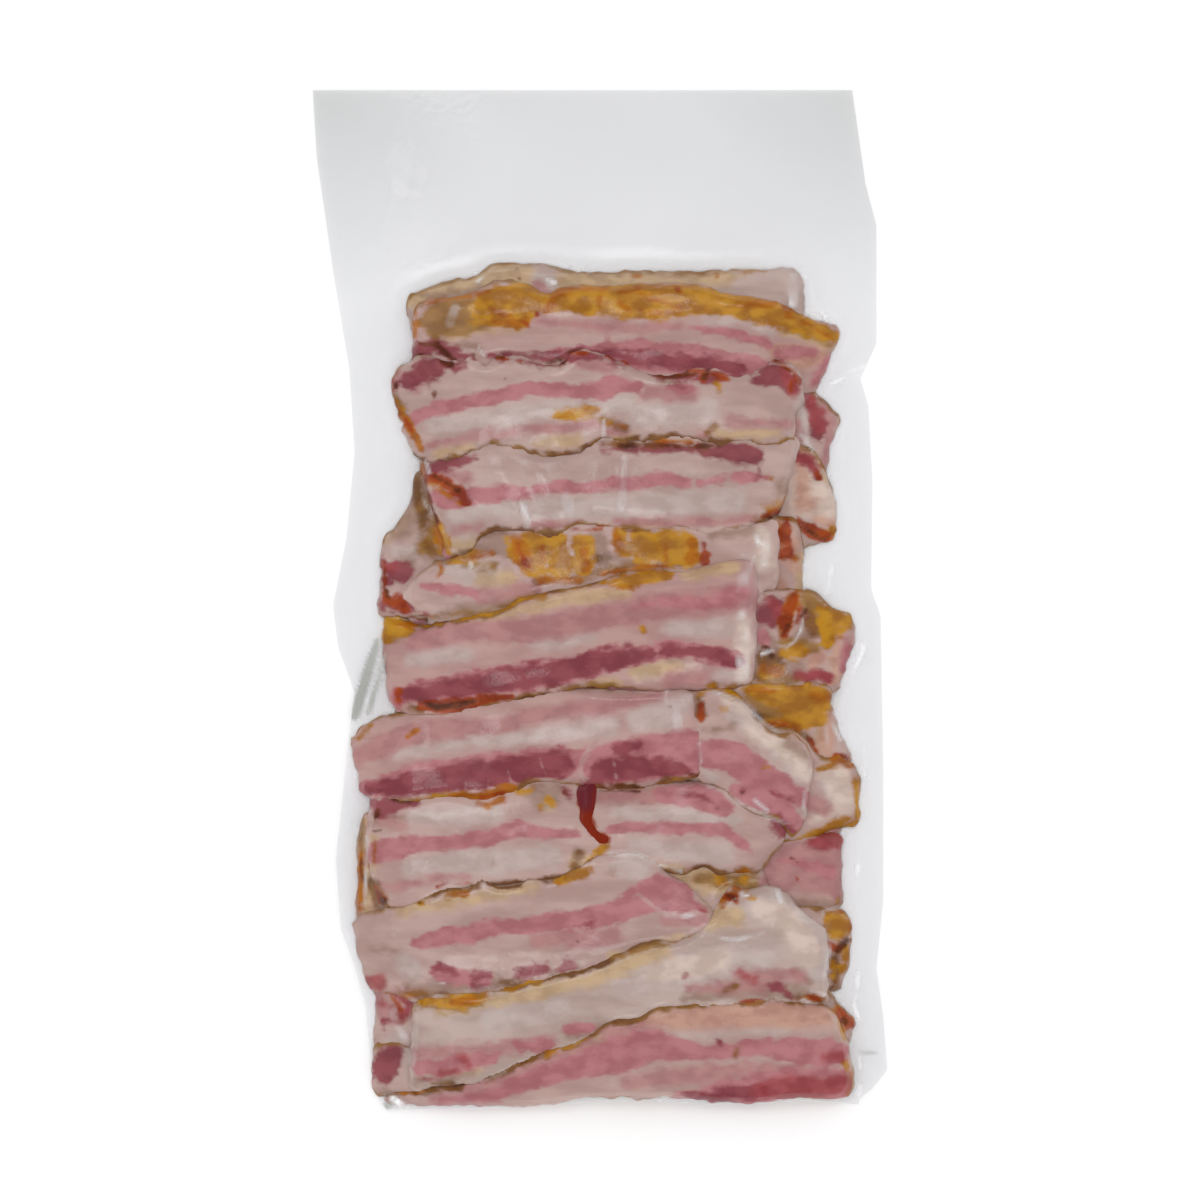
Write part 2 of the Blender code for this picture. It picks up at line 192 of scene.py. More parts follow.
# Slices whose ends stick out at the sides, lowest first.
SIDE_SLICES = [
    dict(name="end_2", bulge=-1, crust=((0, 0, 0.6), (0,)),
         upper=((-60, 84), (0, 86), (70, 82), (76, 80), (80, 76.5), (84, 73.5), (89.5, 68.5)),
         lower=((-60, 52), (0, 52), (70, 50), (80, 46), (84, 45)),
         white=[((75, 74, 2), (76, 58, 2))], dull=[((76, 79, 1), (82, 75, 1), (88, 69, 1))],
         blush=[((84, 70, 3), (86, 62, 2.4), (85, 52, 2)), ((72, 66, 3), (72, 56, 3))],
         deep=[((78, 74, 1.4), (80, 70, 2.4), (81.6, 65, 3), (82, 59, 2)), ((72, 78, 1.4), (76, 76, 1.4))],
         gold=[((82.5, 59, 0.8),)],
         red=[((79, 74, 1.6), (80.6, 69, 2.8), (81.6, 64, 2)), ((72, 80, 1), (76, 76.6, 1.2))]),
    dict(name="end_3", bulge=1.5, tone=0.2,
         upper=((-62, 52), (0, 56), (70, 57), (78, 56), (83, 50), (85, 45)),
         lower=((-60, 12), (0, 14), (70, 16), (80, 20.5), (88, 21)),
         white=[((80, 40, 4), (84, 34, 3))],
         cream=[((80, 43, 4.4), (84, 33, 4)), ((74, 44, 3), (75, 33, 3))],
         tan=[((74, 58, 1), (82, 51, 0.8), (84.6, 44, 0.6))],
         peach=[((74, 58, 2), (76, 36, 3)), ((80, 30, 1.5), (86, 28, 2))],
         deep=[((72, 53, 1), (78, 51.5, 2.4), (81, 48, 2), (82, 45, 0.6))],
         gold=[((86.5, 26, 1.6), (88, 23.5, 1.2))],
         amber=[((83, 25, 1.6), (87, 22.6, 1.2)), ((76, 28.6, 0.6), (80, 26.6, 0.8))],
         red=[((72, 52.6, 1.4), (78, 51, 1.8), (81.6, 47.6, 1.2))],
         rust=[((81, 48.4, 0.8), (82, 45, 0.6)), ((74, 28.4, 1.6), (78.6, 25.6, 3), (84, 23, 2))],
         char=[((76, 26, 0.2), (84, 22, 0.5))]),
    dict(name="end_4_left", bulge=0,
         upper=((-81.4, 18), (-80.6, 23), (-77, 26.4), (-73, 31.6), (-70, 38), (-68.6, 46), (-60, 50),
                (0, 50), (50, 30)),
         lower=((-82, -7.6), (-70, -6.6), (-40, -4), (20, 0), (50, 2)),
         white=[((-76, 18, 2.2), (-70, 17.5, 2.6))],
         tan=[((-79, 22, 0.8), (-68, 34, 1)), ((-64, 20, 2), (-60, 30, 2))],
         dull=[((-76, 25, 3), (-70, 33, 5), (-67, 42, 4)), ((-66, 18, 3), (-62, 26, 3)),
               ((-76, 15, 1), (-70, 14, 1.4))],
         deep=[((-80, 14, 1.4), (-76, 11, 4), (-72, 9.5, 3.4)), ((-78, 6, 2.5),),
               ((-80, -2, 2), (-70, -2, 3))],
         olive=[((-66, 18, 1.6), (-62, 24, 2.6), (-60, 30, 2))],
         # Painted shade: the first brown streak, with the streaks for fat in shade.
         brown=[((-69, 46, 1.6), (-67, 36, 2.6), (-65.6, 28, 2)), ((-65, 22, 1.4), (-62, 18, 2.2)),
                ((-60, 23, 1), (-58, 17, 1))],
         gold=[((-61, 26, 0.6), (-58, 18, 0.8))], amber=[((-60.6, 26, 1.4), (-57.4, 20, 1.8))],
         red=[((-79.6, 13, 1), (-77, 12, 2)), ((-74, 1, 1.6), (-71, -3, 2))],
         rust=[((-79, -1, 1.6), (-73, -2, 2.6), (-70, -4, 1)), ((-75, 1, 1.4), (-73, 0, 1.6)),
               ((-80, 14, 0.6), (-79.4, 2, 0.8))],
         char=[((-79, 3.5, 0.8), (-78, 0.5, 0.5))]),
    dict(name="end_4_right", bulge=0, tone=0.5,
         upper=((-37, 22), (20, 22), (66, 31), (72, 30), (75.5, 20)),
         lower=((-37, -18), (20, -16), (60, -10), (75.5, -2)),
         # Partly painted highlight: the cream streak.
         cream=[((60, 6, 2), (61, 26, 2.6))], tan=[((74.5, 16, 2), (74.5, 4, 2))],
         peach=[((66, 28, 3), (70, 20, 3), (72, 12, 2)), ((62, 10, 3), (66, 4, 3))],
         amber=[((71, 16, 1), (72.6, 15, 0.8)), ((66, 28, 1), (65.4, 21, 1.4)), ((67, 16, 0.8),)],
         rust=[((65, 17.6, 2), (69.6, 18, 2.2)), ((69.4, 28.4, 1.4), (68, 23, 2.6))]),
    dict(name="end_5", bulge=2, tone=0.6,
         upper=((-48, 0), (20, 5), (70, 4), (75, 4), (79, 3.5), (83, 0), (86, -3), (94.5, -4.5)),
         lower=((-50, -32), (20, -34), (60, -36), (87.5, -35)),
         cream=[((86, -22, 1.6), (87, -26, 1.4))],
         tan=[((78, 1, 2.4), (79, -4, 2.4)), ((60, -26, 2), (62, -30, 2))],
         peach=[((88, -15, 2.4), (88, -24, 3), (86, -30, 2)), ((80, -22, 3), (78, -25, 2))],
         dull=[((60, -14, 3), (66, -18, 3)), ((77, -3, 3), (78, -10, 4), (74, -14, 3)),
               ((58, -26, 3), (72, -26, 4))],
         blush=[((91.6, -14, 1.4), (90, -24, 1.4))],
         lean=[((60, -13, 3), (62, -15, 2)), ((92, -18, 1.8), (90, -25, 1.6)),
               ((78, -6, 2.4), (79, -11, 2))],
         deep=[((60, -6, 4.4), (64, -3, 4.6), (64, -8, 3)), ((66, -29, 1), (80, -28, 1.6), (84, -29, 1.8))],
         olive=[((76, 1, 2.6), (80, -3, 3.4), (84, -16, 2.4)), ((62, -30, 3), (72, -30, 2)),
                ((70, -16, 2.4), (78, -18, 2.4))],
         brown=[((78, -8, 2.6), (79, -12, 2.4)), ((60, -21, 2.4), (65, -24, 3), (67, -21, 2)),
                ((81.6, -13, 1), (82.6, -16.6, 1)), ((60, -29, 1.4), (66, -27.6, 1.2))],
         gold=[((82, -3, 2.4), (84, -9, 4.6), (83.4, -15, 3)), ((87, -6, 3.4), (91.5, -8, 3)),
               ((86, -11, 2.4), (89, -12, 2)), ((70, -20, 2.8), (74, -19.6, 3)), ((73, 4.2, 0.8),),
               ((62, -27, 2.4), (66, -26, 2))],
         amber=[((73, 3.4, 1.4), (71, 0, 3), (69.4, -5, 3.2), (69, -11, 2.6)),
                ((61, -25, 1.6), (66, -27, 1.6))],
         red=[((63, -1, 2), (66, -5, 2)), ((72, -28.4, 1), (80, -28, 1.6), (84.6, -29, 1.6))],
         rust=[((72, 2, 1), (70.4, -2, 2), (69.4, -8, 2.2), (69.6, -12, 1.4)),
               ((67, -3, 0.6), (67, -9, 0.6)), ((74, -3, 0.8), (73.6, -8, 0.8))],
         char=[((60, -16.4, 0.6), (62.4, -17.8, 0.8), (64, -20.6, 0.7)), ((76, -4, 0.6), (74.6, -6, 0.3)),
               ((69, -12, 0.3), (71, -9, 0.3))]),
    dict(name="end_6", bulge=-2.5,
         upper=((-55, -30), (0, -32), (51, -30), (75, -31), (86, -31)),
         lower=((-55, -66), (0, -66), (60, -64), (95, -60)),
         tan=[((83, -45, 1), (81, -54, 1))],
         peach=[((84.5, -40, 2), (85, -50, 3), (84, -56, 2.4)), ((78, -52, 2), (81, -56, 2.4))],
         dull=[((57, -41, 2), (66, -42.5, 2), (74, -45, 1))],
         olive=[((56, -36, 3), (62, -41, 3), (72, -48, 2))],
         brown=[((76.6, -50, 0.8), (79, -54, 1)), ((60, -44, 1), (68, -47, 1.6), (74, -49, 1.2))],
         gold=[((54, -33, 1.8), (62, -35, 3.6), (72, -37, 6.4), (80, -38, 6.4)),
               ((72, -43, 4.8), (79, -43, 5)), ((61, -45, 1.6), (70, -46.4, 2.4))],
         amber=[((79, -35.5, 1.4), (83.5, -36, 1.6)), ((63, -46.5, 1.4), (67, -45.5, 2), (73, -48, 1.4)),
                ((55, -33.4, 0.6), (64, -34, 0.8))],
         rust=[((78, -52, 1), (80, -56.4, 1.4)), ((87, -57.6, 0.8), (92, -58.6, 1)),
               ((64, -45.6, 0.5), (69, -46.4, 0.6))],
         char=[((66, -50.5, 0.3), (73, -49.6, 0.4)), ((56, -41, 0.3), (58, -42.6, 0.5))]),
    dict(name="end_7", bulge=0, tone=0.8,
         upper=((-89, -78), (-50, -76), (0, -78), (60, -82), (75, -86), (90, -86)),
         lower=((-90.5, -119), (-40, -118), (20, -116), (70, -116), (90, -115)),
         # Painted highlight: the white streak at the right end.
         white=[((90, -97, 0.6), (90, -109, 0.6))], tan=[((-87, -84, 3), (-87, -116, 3))],
         dull=[((72, -112, 1.5), (88, -112, 1.5))],
         blush=[((62, -103, 8), (72, -98, 8), (86, -100, 9)), ((88, -108, 3),)],
         lean=[((66, -97, 1), (74, -97, 1.6), (85, -101, 2.4))], deep=[((76, -91, 1.4), (84, -90, 2.4))],
         brown=[((-88.2, -82, 0.6), (-88.4, -96, 1.2), (-88.6, -112, 1)),
                ((-85.6, -105, 1.6), (-83, -112, 2)), ((89, -111, 0.8),)],
         gold=[((88.5, -111, 0.4),)],
         amber=[((-88.6, -94, 1), (-89.6, -114, 1.6)), ((-84.5, -88, 1.2), (-84.6, -98, 1.6))],
         red=[((78, -90.4, 1), (84, -89.2, 2.8), (89, -88, 3.4))],
         rust=[((73.5, -103, 0.2), (73.5, -105.5, 0.2))],
         char=[((-88.5, -96, 0.3), (-88, -104, 0.3)), ((70, -95.5, 0), (74, -97.5, 0))]),
    dict(name="end_8", bulge=2.5,
         upper=((-74, -112), (0, -112), (70, -113), (82, -114), (89, -114.5), (93, -119)),
         lower=((-74, -144), (0, -142), (60, -142), (87, -146)),
         dull=[((87, -133, 2.5), (87, -143, 1.5))], brown=[((87.6, -131, 1.4), (87.4, -143, 1.4))],
         gold=[((84, -118, 2.4), (88, -121, 4.6), (92, -121, 3)), ((92, -129, 1.8), (91, -137, 1.8)),
               ((86.4, -134, 0.8), (86, -139, 0.8))],
         amber=[((93, -118, 0.8), (94, -125, 1)), ((84, -114.6, 0.8), (89, -115, 1))],
         rust=[((85.5, -127.6, 1), (87.8, -129, 1.2))],
         char=[((88.2, -129.4, 0.7), (91.4, -125.4, 0.7)), ((87.5, -141, 0.3), (86, -144, 0.4))]),
    dict(name="end_9", bulge=0,
         upper=((-84, -142), (-40, -136), (30, -132), (84, -143), (88, -149), (95, -155)),
         lower=((-83, -168), (0, -168), (70, -168), (91.5, -166)),
         # Painted highlight: the white streak.
         white=[((-73, -161, 1.5), (-78, -164, 1))], dull=[((86, -147, 2), (88, -151, 1.5))],
         blush=[((-82, -148, 2.5), (-78, -155, 3))],
         deep=[((-80, -157.6, 2),), ((-75.4, -147.6, 1), (-72.4, -150.6, 2.2), (-72.6, -154, 1.6))],
         gold=[((88, -154, 0.5), (89.5, -162, 0.5))],
         amber=[((-77, -147, 0.8), (-75.4, -150, 0.6)), ((88, -152, 1.8), (88.6, -159, 1.4)),
                ((94, -155.4, 1),)],
         red=[((-76, -146.4, 0.8), (-72.6, -148.6, 3), (-71.6, -152, 3), (-73.4, -156, 1.6)),
              ((-80.6, -149, 1), (-77.6, -150, 0.8))],
         rust=[((-79.6, -144.6, 0.4), (-76, -146.4, 1)), ((-75, -148.6, 0.6), (-73.4, -152, 0.8)),
               ((89.6, -153.6, 2.2), (92, -156.6, 2.2))],
         char=[((90.6, -156, 1.4),)]),
    dict(name="end_10", bulge=1.5,
         upper=((-83, -164), (-40, -166), (30, -166), (91, -163)),
         lower=((-84, -184), (0, -184.5), (94, -185)),
         # Painted highlight: the white streak.
         white=[((-72.8, -157, 1.4), (-71, -166, 1.2), (-70.4, -174, 1))],
         tan=[((93, -172, 1.5), (94, -183, 2))], dull=[((-80, -182, 1.5), (-77, -184, 1.5))],
         deep=[((-77, -168.4, 4.6), (-80, -173.6, 5.2))]),
    dict(name="end_piece", bulge=1, tone=0.5, crust=((0.5,), (0.5,)),
         upper=((40, -50), (75, -50), (82, -58), (88, -58), (93, -60), (96, -64)),
         lower=((40, -92), (70, -90), (76, -89), (84, -86), (90, -84), (95.5, -85)),
         white=[((84, -66, 3), (90, -74, 4))],
         cream=[((83, -64, 3), (89, -66, 5), (91, -76, 4)), ((80, -80, 2), (88, -78, 2))],
         blush=[((79, -75, 3), (84, -78, 2.5))],
         gold=[((95.6, -66, 0.9), (96, -82, 0.9)),
               ((73, -89, 1), (80, -87, 1.8), (86, -83.5, 1.8), (92, -82, 1.2)),
               ((81, -63, 1), (86, -61.5, 1)), ((93, -84, 1), (95, -83, 1))],
         amber=[((87, -58.5, 1.4), (94, -62, 1))], rust=[((87, -56.5, 0.8),)], char=[((87.5, -81, 0.4),)]),
]

# Slices right under the shown ones, which only the sides and the steps of the pile give away.
CENTRE_SLICES = [
    dict(name="under_0",
         upper=((-62, 114), (66, 112)),
         lower=((-64, 76), (66, 78))),
    dict(name="under_2",
         upper=((-62, 80), (0, 84), (66, 80)),
         lower=((-58, 44), (0, 46), (64, 44))),
    dict(name="under_3",
         upper=((-56, 46), (0, 44), (60, 44)),
         lower=((-56, 8), (0, 6), (52, 8))),
    dict(name="under_4",
         upper=((-60, 10), (0, 12), (50, 10)),
         lower=((-66, -28), (0, -26), (50, -26))),
    dict(name="under_5",
         upper=((-72, -24), (0, -20), (46, -18)),
         lower=((-74, -60), (0, -56), (48, -56))),
    dict(name="under_6",
         upper=((-78, -52), (0, -48), (60, -54)),
         lower=((-78, -88), (0, -88), (58, -88))),
    dict(name="under_7",
         upper=((-76, -92), (0, -88), (56, -94)),
         lower=((-78, -126), (0, -124), (70, -126)),
         tan=[((30, -104, 4), (46, -104, 5), (56, -105, 3))], blush=[((62, -106, 4), (66, -106, 4))],
         olive=[((36, -103.6, 2), (44, -104, 2.4)), ((50, -105, 2), (57, -106, 2))],
         brown=[((44, -101, 0.8), (50, -103, 1.4), (58, -101.6, 0.8))],
         gold=[((44, -103, 1.4), (46, -104.6, 1)), ((51, -102, 1.2), (54, -104, 1))]),
    dict(name="under_8",
         upper=((-70, -128), (0, -124), (76, -126)),
         lower=((-62, -160), (0, -160), (82, -160))),
    dict(name="under_9",
         upper=((-62, -156), (0, -154), (84, -152)),
         lower=((-62, -184), (0, -184), (86, -183))),
]

# The shown slices, in the order in which they are laid.
TOP_SLICES = [
    dict(name="row_0", bulge=0, tone=0.1, crust=((0.5, 0.3, 0.3, 0.4, 0), (0,)),
         upper=((-72.5, 108), (-71, 112), (-65, 115), (-54, 119), (-46, 120.4), (-41, 124), (-36, 124.6),
                (-24, 124.8), (-19, 124.4), (-13, 122.2), (0, 121.6), (15, 121.8), (40, 121.8), (55, 122.6),
                (64, 123.4), (72, 122.6), (75, 119)),
         lower=((-70, 98), (0, 98), (76, 100)),
         # Partly painted highlights: both white streaks, on the knob and on the right end.
         white=[((-24, 118, 3), (-18, 117, 3)), ((71.5, 120, 1.5), (72, 110, 2.5))],
         tan=[((-70, 112, 3), (-56, 116, 4), (-40, 121, 5), (-31, 121, 5)),
              ((-12, 119, 4), (20, 119, 4), (48, 120, 3))],
         dull=[((-64, 113, 1), (-50, 113, 1.2), (-44, 115.5, 1)), ((-13, 121.5, 0.5), (40, 121.5, 0.5))],
         blush=[((-22, 115, 3), (-18, 111, 2))], gold=[((50, 121.5, 0.4), (60, 122.5, 0.5))],
         amber=[((12, 120, 0.2), (15, 120, 0.2)), ((43, 120, 0.6),)],
         char=[((-31.3, 123, 0.3),), ((-31, 119.2, 0.2),)]),
    dict(name="row_1", bulge=0, tone=0.7, crust=((0.5, 0.5, 0.3, 0.1, 0), (0,)),
         upper=((-70, 104), (-68.5, 108.5), (-65, 111), (-56, 112.5), (-47, 114.5), (-40, 118),
                (-33, 118.5), (-25, 116.5), (-20, 113.5), (-16, 115), (-8, 116.5), (0, 116.5), (10, 117.5),
                (28, 117), (40, 115.5), (50, 113), (60, 111.5), (66, 110), (72, 107), (78, 105),
                (84, 102.5), (88, 100.5), (89.5, 98)),
         lower=((-69, 80), (-40, 80), (0, 82), (40, 74), (80, 77)),
         # Painted highlight: the first white streak.
         white=[((-54, 107, 0.6), (-55, 103, 0.8)), ((40, 104, 2), (55, 103, 1.5), (64, 99, 1))],
         tan=[((-55, 98, 1.5), (-40, 100.5, 1), (-30, 101, 1)),
              ((68, 99, 1), (80, 96.5, 1.5), (87, 93, 1))],
         peach=[((66, 91, 3), (74, 90, 5), (81, 90, 3.4))],
         dull=[((-30, 103.5, 0.6), (-23, 107, 1)), ((-66, 92, 2.5), (-57, 94, 2.5)),
               ((-50, 94, 1.4), (-44, 92, 1.4))],
         blush=[((-24, 103, 1), (0, 101.5, 2), (15, 101, 1.6), (30, 101.5, 1)), ((82, 84, 3), (80, 80, 2))],
         lean=[((32, 101, 0.4), (40, 100, 1.2), (50, 98.5, 1.8), (58, 96.5, 1.6), (62, 95, 1.8)),
               ((-18, 91, 1.4), (-8, 92, 2), (2, 91.5, 4), (12, 90.5, 5.6), (25, 89.5, 6.2),
                (36, 88.5, 5.4), (48, 87, 4.4), (60, 86.5, 3.6)), ((84.5, 88, 1.2), (86, 91, 1)),
               ((67, 91, 2), (78, 92, 2)), ((80, 81, 1.4), (85, 89, 1.4))],
         deep=[((-70, 87, 2), (-67, 92, 2.4), (-61, 94, 3), (-54, 91, 3), (-48, 89.5, 1.4)),
               # Painted shade, partly dark lean: this deep streak along row_2's upper edge.
               ((-40, 90, 0.8), (-28, 90, 1.2), (-18, 89.5, 1.8), (-8, 91.5, 2), (2, 91, 1.6), (18, 89, 3),
                (36, 87.5, 3.2), (52, 86, 2))],
         olive=[((-68, 103, 1.4), (-60, 103.4, 6.4), (-50, 105, 7.6), (-44, 106, 6)),
                ((-16, 108.4, 1), (-4, 108, 1.2)), ((70, 100, 1.4), (84, 96, 1.4))],
         gold=[((-45, 106, 4), (-40, 109, 7), (-30, 109.5, 8.5), (-22, 111, 4.4), (-14, 111.4, 4.2),
                (-5, 111.5, 5), (8, 111, 6.5), (20, 110, 6.5), (30, 111, 6), (42, 110.5, 5),
                (52, 108.5, 4.2), (62, 106.5, 4.4), (72, 103, 4), (80, 100.5, 3.4), (87, 97.5, 2.6)),
               ((-48, 103, 1), (-36, 103, 2))],
         amber=[((-40, 103.6, 1), (-31, 102.4, 1.4), (-27, 103.4, 1.4)),
                ((-45.5, 113.5, 1), (-42, 114, 0.8)), ((-41, 108, 0.6), (-33, 105, 0.8)),
                ((-18.5, 108, 1.4), (-16, 113, 1.4), (-8, 115.4, 0.8), (2, 115.4, 0.8)),
                ((0, 112, 0.9), (0, 108, 0.6)), ((7, 114, 0.6), (14, 114.5, 0.8)),
                ((15, 113, 0.8), (22, 111, 0.6), (29, 108, 1.2)), ((7, 110, 0.4), (11, 106.5, 0.3)),
                ((-64, 111, 0.6), (-48, 112.4, 0.8)), ((15, 107, 0.2), (20, 104.5, 0.2)),
                ((19, 106.5, 1), (27, 107, 1)), ((51, 109.5, 0.8), (64, 109.5, 1.4)),
                ((68, 108, 1), (70.5, 106, 1.2)), ((75, 104, 0.3), (85, 97, 0.3)),
                ((-68.4, 106, 0.7), (-68, 98, 0.6))],
         rust=[((28.5, 115.5, 0.8), (29.2, 115, 0.6)), ((-29, 103.5, 0.3), (-26, 101.5, 0.5)),
               ((-22, 105.5, 0.6),)],
         # Partly painted shadow: the first char streak, where row_2's edge lies over this slice.
         char=[((-66, 95, 0.2), (-60, 94, 1.2), (-57, 91, 1.2), (-54, 89, 0.8)),
               ((-70, 88.5, 0.4), (-66, 90, 0.6)), ((-20, 87.5, 0.3), (-15, 88.5, 0.6)),
               ((-12, 91, 0.3), (-8, 92, 0.3)), ((-46, 90.5, 0.4),)]),
    dict(name="row_4", bulge=0, tone=0.5, crust=((0.2, 0.7, 0), (0,)),
         upper=((-73.5, 4), (-68, 9.5), (-62, 13.5), (-56, 15), (-45, 24), (0, 31), (40, 31), (66, 30)),
         lower=((-72, 0), (-66, -5), (-40, -12), (0, -4), (40, 0), (60, 2.8), (66, 4)),
         # Painted highlight at the right end: the second white streak and the cream one.
         white=[((-58, 11, 2), (-48, 10, 4), (-40, 11, 3.5)), ((60, 24, 1.5), (61, 14, 2.5))],
         cream=[((59, 25, 2), (61, 14, 3))], tan=[((-44, 7, 2), (-34, 8, 3))],
         dull=[((-46, 20, 2), (-36, 21, 4)), ((-1, 22, 3), (1, 13, 3), (8, 14, 2)),
               ((-60, -6, 1), (-46, -3.6, 2.6), (-34, 0, 3), (-24, 2.4, 2.4)),
               ((42, 24, 0.8), (56, 26, 1))],
         blush=[((-46, 2.4, 2), (-36, 2, 2.5), (-24, 4, 2.6))],
         lean=[((-65, 4.6, 0.8), (-60, 4.8, 1.6), (-54, 3.6, 1.7), (-46, 2.6, 1.8)),
               ((-76, -1, 1), (-70, -3, 1))],
         deep=[((-72, -4.6, 0.6), (-64, -6, 0.6))],
         olive=[((-64, -7, 0.4), (-50, -5.4, 0.8), (-36, -2.4, 0.8), (-24, 1.4, 0.8)),
                ((10, 19, 2.2), (16, 17, 3), (22, 16.6, 2), (20, 23, 1)), ((-50, 13, 1.4), (-40, 12, 1.6))],
         brown=[((-61, 14.6, 1), (-54, 15.6, 1.6)),
                # Partly painted shade: this brown streak, along row_5's upper edge.
                ((-24, 6.4, 0.8), (-8, 8, 1.4), (6, 11.4, 1.4), (26, 13, 1.2), (34, 13, 0.8)),
                ((-4, 17, 1), (2, 14, 1.4))],
         gold=[((-31, 19, 3), (-26, 12, 3)), ((-25, 22, 4), (-23, 13, 4)), ((-17, 22, 5), (-15, 13, 5.4)),
               ((-6, 21, 3.6), (-6, 11, 3.2)), ((7, 24, 3), (9, 18, 3)), ((16, 22, 5), (17, 17, 5)),
               ((25, 21, 6), (26, 17, 5.4)), ((32, 22, 4), (33, 15, 3.6)),
               ((-56, 14.2, 0.6), (-47, 14, 0.6)), ((-52, 16, 1), (-46, 17, 1)),
               ((-34, 22, 1), (-31, 14, 1))],
         amber=[((-30, 21, 2.4), (-27.5, 13, 3)), ((-21.5, 20, 0.4), (-21, 14, 0.6)),
                ((-6, 20, 1), (-5, 11, 1.4)), ((5.5, 26, 1.4), (6.5, 20, 2)),
                ((24, 21, 0.4), (24, 15, 0.6)), ((34, 22, 1.4), (34, 15, 2)),
                ((-47, 15.5, 0.8), (-41, 17, 1)), ((-59.4, 14, 0.7), (-59, 11, 0.5), (-60.3, 8, 0.2)),
                ((-22, 6.5, 1), (-8, 7.5, 1.2)), ((2, 9, 1), (24, 12.5, 1))],
         rust=[((-30, 20, 0.6), (-27, 12, 1)), ((38.5, 21, 0.8), (38.5, 14, 1.6)), ((40, 17, 0.8),),
               ((-11, 26, 0.2), (0, 26.5, 0.2))],
         char=[((-19.5, 17.5, 0.2),), ((18.5, 18.8, 0.1),), ((8, 26, 0.2), (20, 25.5, 0.1))]),
    dict(name="row_3", bulge=0.6, ragged=0.8, tone=0.35,
         crust=((0.2,), (0.2, 0.9, 0.8, 0.4, 0.3, 0.2, 0.5)),
         upper=((-68, 54), (-62, 56), (-30, 62), (10, 65), (50, 65), (74, 60)),
         lower=((-56.5, 17), (-50, 16.6), (-47, 18), (-44, 23), (-40, 24.5), (-28, 25), (-16, 24),
                (-11, 26.5), (0, 27), (10, 26.5), (16, 25.5), (28, 27), (40, 24.5), (50, 27), (58, 28),
                (66, 30)),
         white=[((-55, 32, 3), (-20, 33.5, 4), (20, 35, 4), (50, 36.5, 4)),
                ((-53, 20, 1.8), (-48, 22, 2.2))],
         tan=[((-55, 21, 1.5), (-47, 20.5, 2)), ((14, 27.5, 1), (24, 28, 1))],
         dull=[((68, 41, 3),), ((-30, 27, 0.4), (-10, 27.6, 0.6)),
               ((-66, 52, 0.8), (-66.4, 40, 0.8), (-63, 30, 1))],
         blush=[((-54, 26, 1), (-44, 27, 1.2)), ((-26, 27.5, 1.4), (-8, 28, 1.4)),
                ((6, 29, 1.5), (30, 28.5, 1.6), (58, 30, 1.4)), ((-60, 46, 2), (-50, 46, 2))],
         lean=[((-63, 38, 2), (-57, 36.5, 3), (-50, 38, 2.5), (-45, 38.8, 3), (-36, 39.3, 2.8),
                (-27, 39.6, 2.2), (-21, 41, 1.8), (-14, 42.2, 2.2), (-6, 42, 2.2), (4, 43, 2.2),
                (16, 43.6, 2.2), (21.5, 45, 2.6), (27, 44, 2), (33, 42.5, 1.4)),
               ((38, 43, 1.2), (46, 44.4, 1.6), (56, 45.6, 1.3), (64, 45.2, 0.6))],
         deep=[((-61.5, 48.6, 2.8), (-54, 51.4, 2.6), (-47, 53.4, 1.2)),
               ((2, 55.8, 1.4), (18, 56.4, 1.8), (36, 56.4, 2), (44, 54.8, 3.2), (52, 53.6, 4),
                (58, 53, 3.6)), ((59, 50, 0.8), (60, 46.5, 0.8))],
         brown=[((58, 29.6, 0.8), (64, 31.6, 1.8), (68, 33, 2.2)), ((-64, 34, 0.8), (-61, 26, 1.2)),
                ((-55, 16.8, 0.4), (-48, 17.6, 0.6)), ((2, 57.4, 0.6), (20, 57.8, 0.8), (40, 57.4, 0.8))],
         gold=[((64, 44.6, 0.8),), ((69.8, 38.8, 0.3),),
               ((-62, 31, 0.8), (-60, 26, 1.8), (-57, 21, 2), (-56, 18, 1.4)),
               ((-67, 46, 0.8), (-65, 36, 1)), ((62, 34.6, 1), (71, 36, 1.2))],
         amber=[((-64, 43, 1), (-58, 42, 1.2)), ((-58, 40, 1), (-53.5, 37, 1.2)),
                ((22, 59, 0.8), (34, 58.8, 0.8)), ((63, 33, 0.8), (67, 34, 0.8)),
                ((-66.5, 50, 0.6), (-66, 42, 0.8))],
         rust=[((-65, 45, 1.2), (-59, 44.4, 2), (-54, 41, 2.2), (-50.5, 37, 1.8)),
               ((-9, 26.9, 0.2), (3, 27.2, 0.2)), ((-65.4, 39, 0.8), (-63, 33, 1.2), (-61.6, 28, 1)),
               ((24, 58, 0.6), (36, 57.5, 0.8)), ((60, 31, 0.6), (67, 32.6, 1))],
         char=[((8, 57, 0.2), (20, 57.4, 0.5), (34, 57.2, 0.5), (44, 57, 0.3)),
               ((56, 28.6, 0.2), (69, 32, 0.6)), ((-65, 44, 0.4), (-63, 34, 0.6), (-61, 29, 0.3)),
               ((-61, 45.5, 0.4), (-53, 41, 0.6))]),
    dict(name="row_2", bulge=1.4, ragged=1.5, tone=0.4,
         crust=((0.3, 0.1, 0, 0, 0, 0.1, 0, 0.2), (0.9, 0.7, 0.6, 0.9, 0.7, 0.8, 0.7, 0.5)),
         upper=((-77, 80), (-74.5, 85), (-70, 88), (-64, 90.5), (-58, 89.5), (-52, 88.5), (-47, 90),
                (-42.5, 86.5), (-38, 90), (-30, 89.5), (-21, 87), (-15, 87), (-10, 91.5), (0, 91), (5, 89),
                (11, 87), (17, 84.5), (22, 83), (28, 84), (38, 86), (46, 83.5), (53, 83), (60, 87),
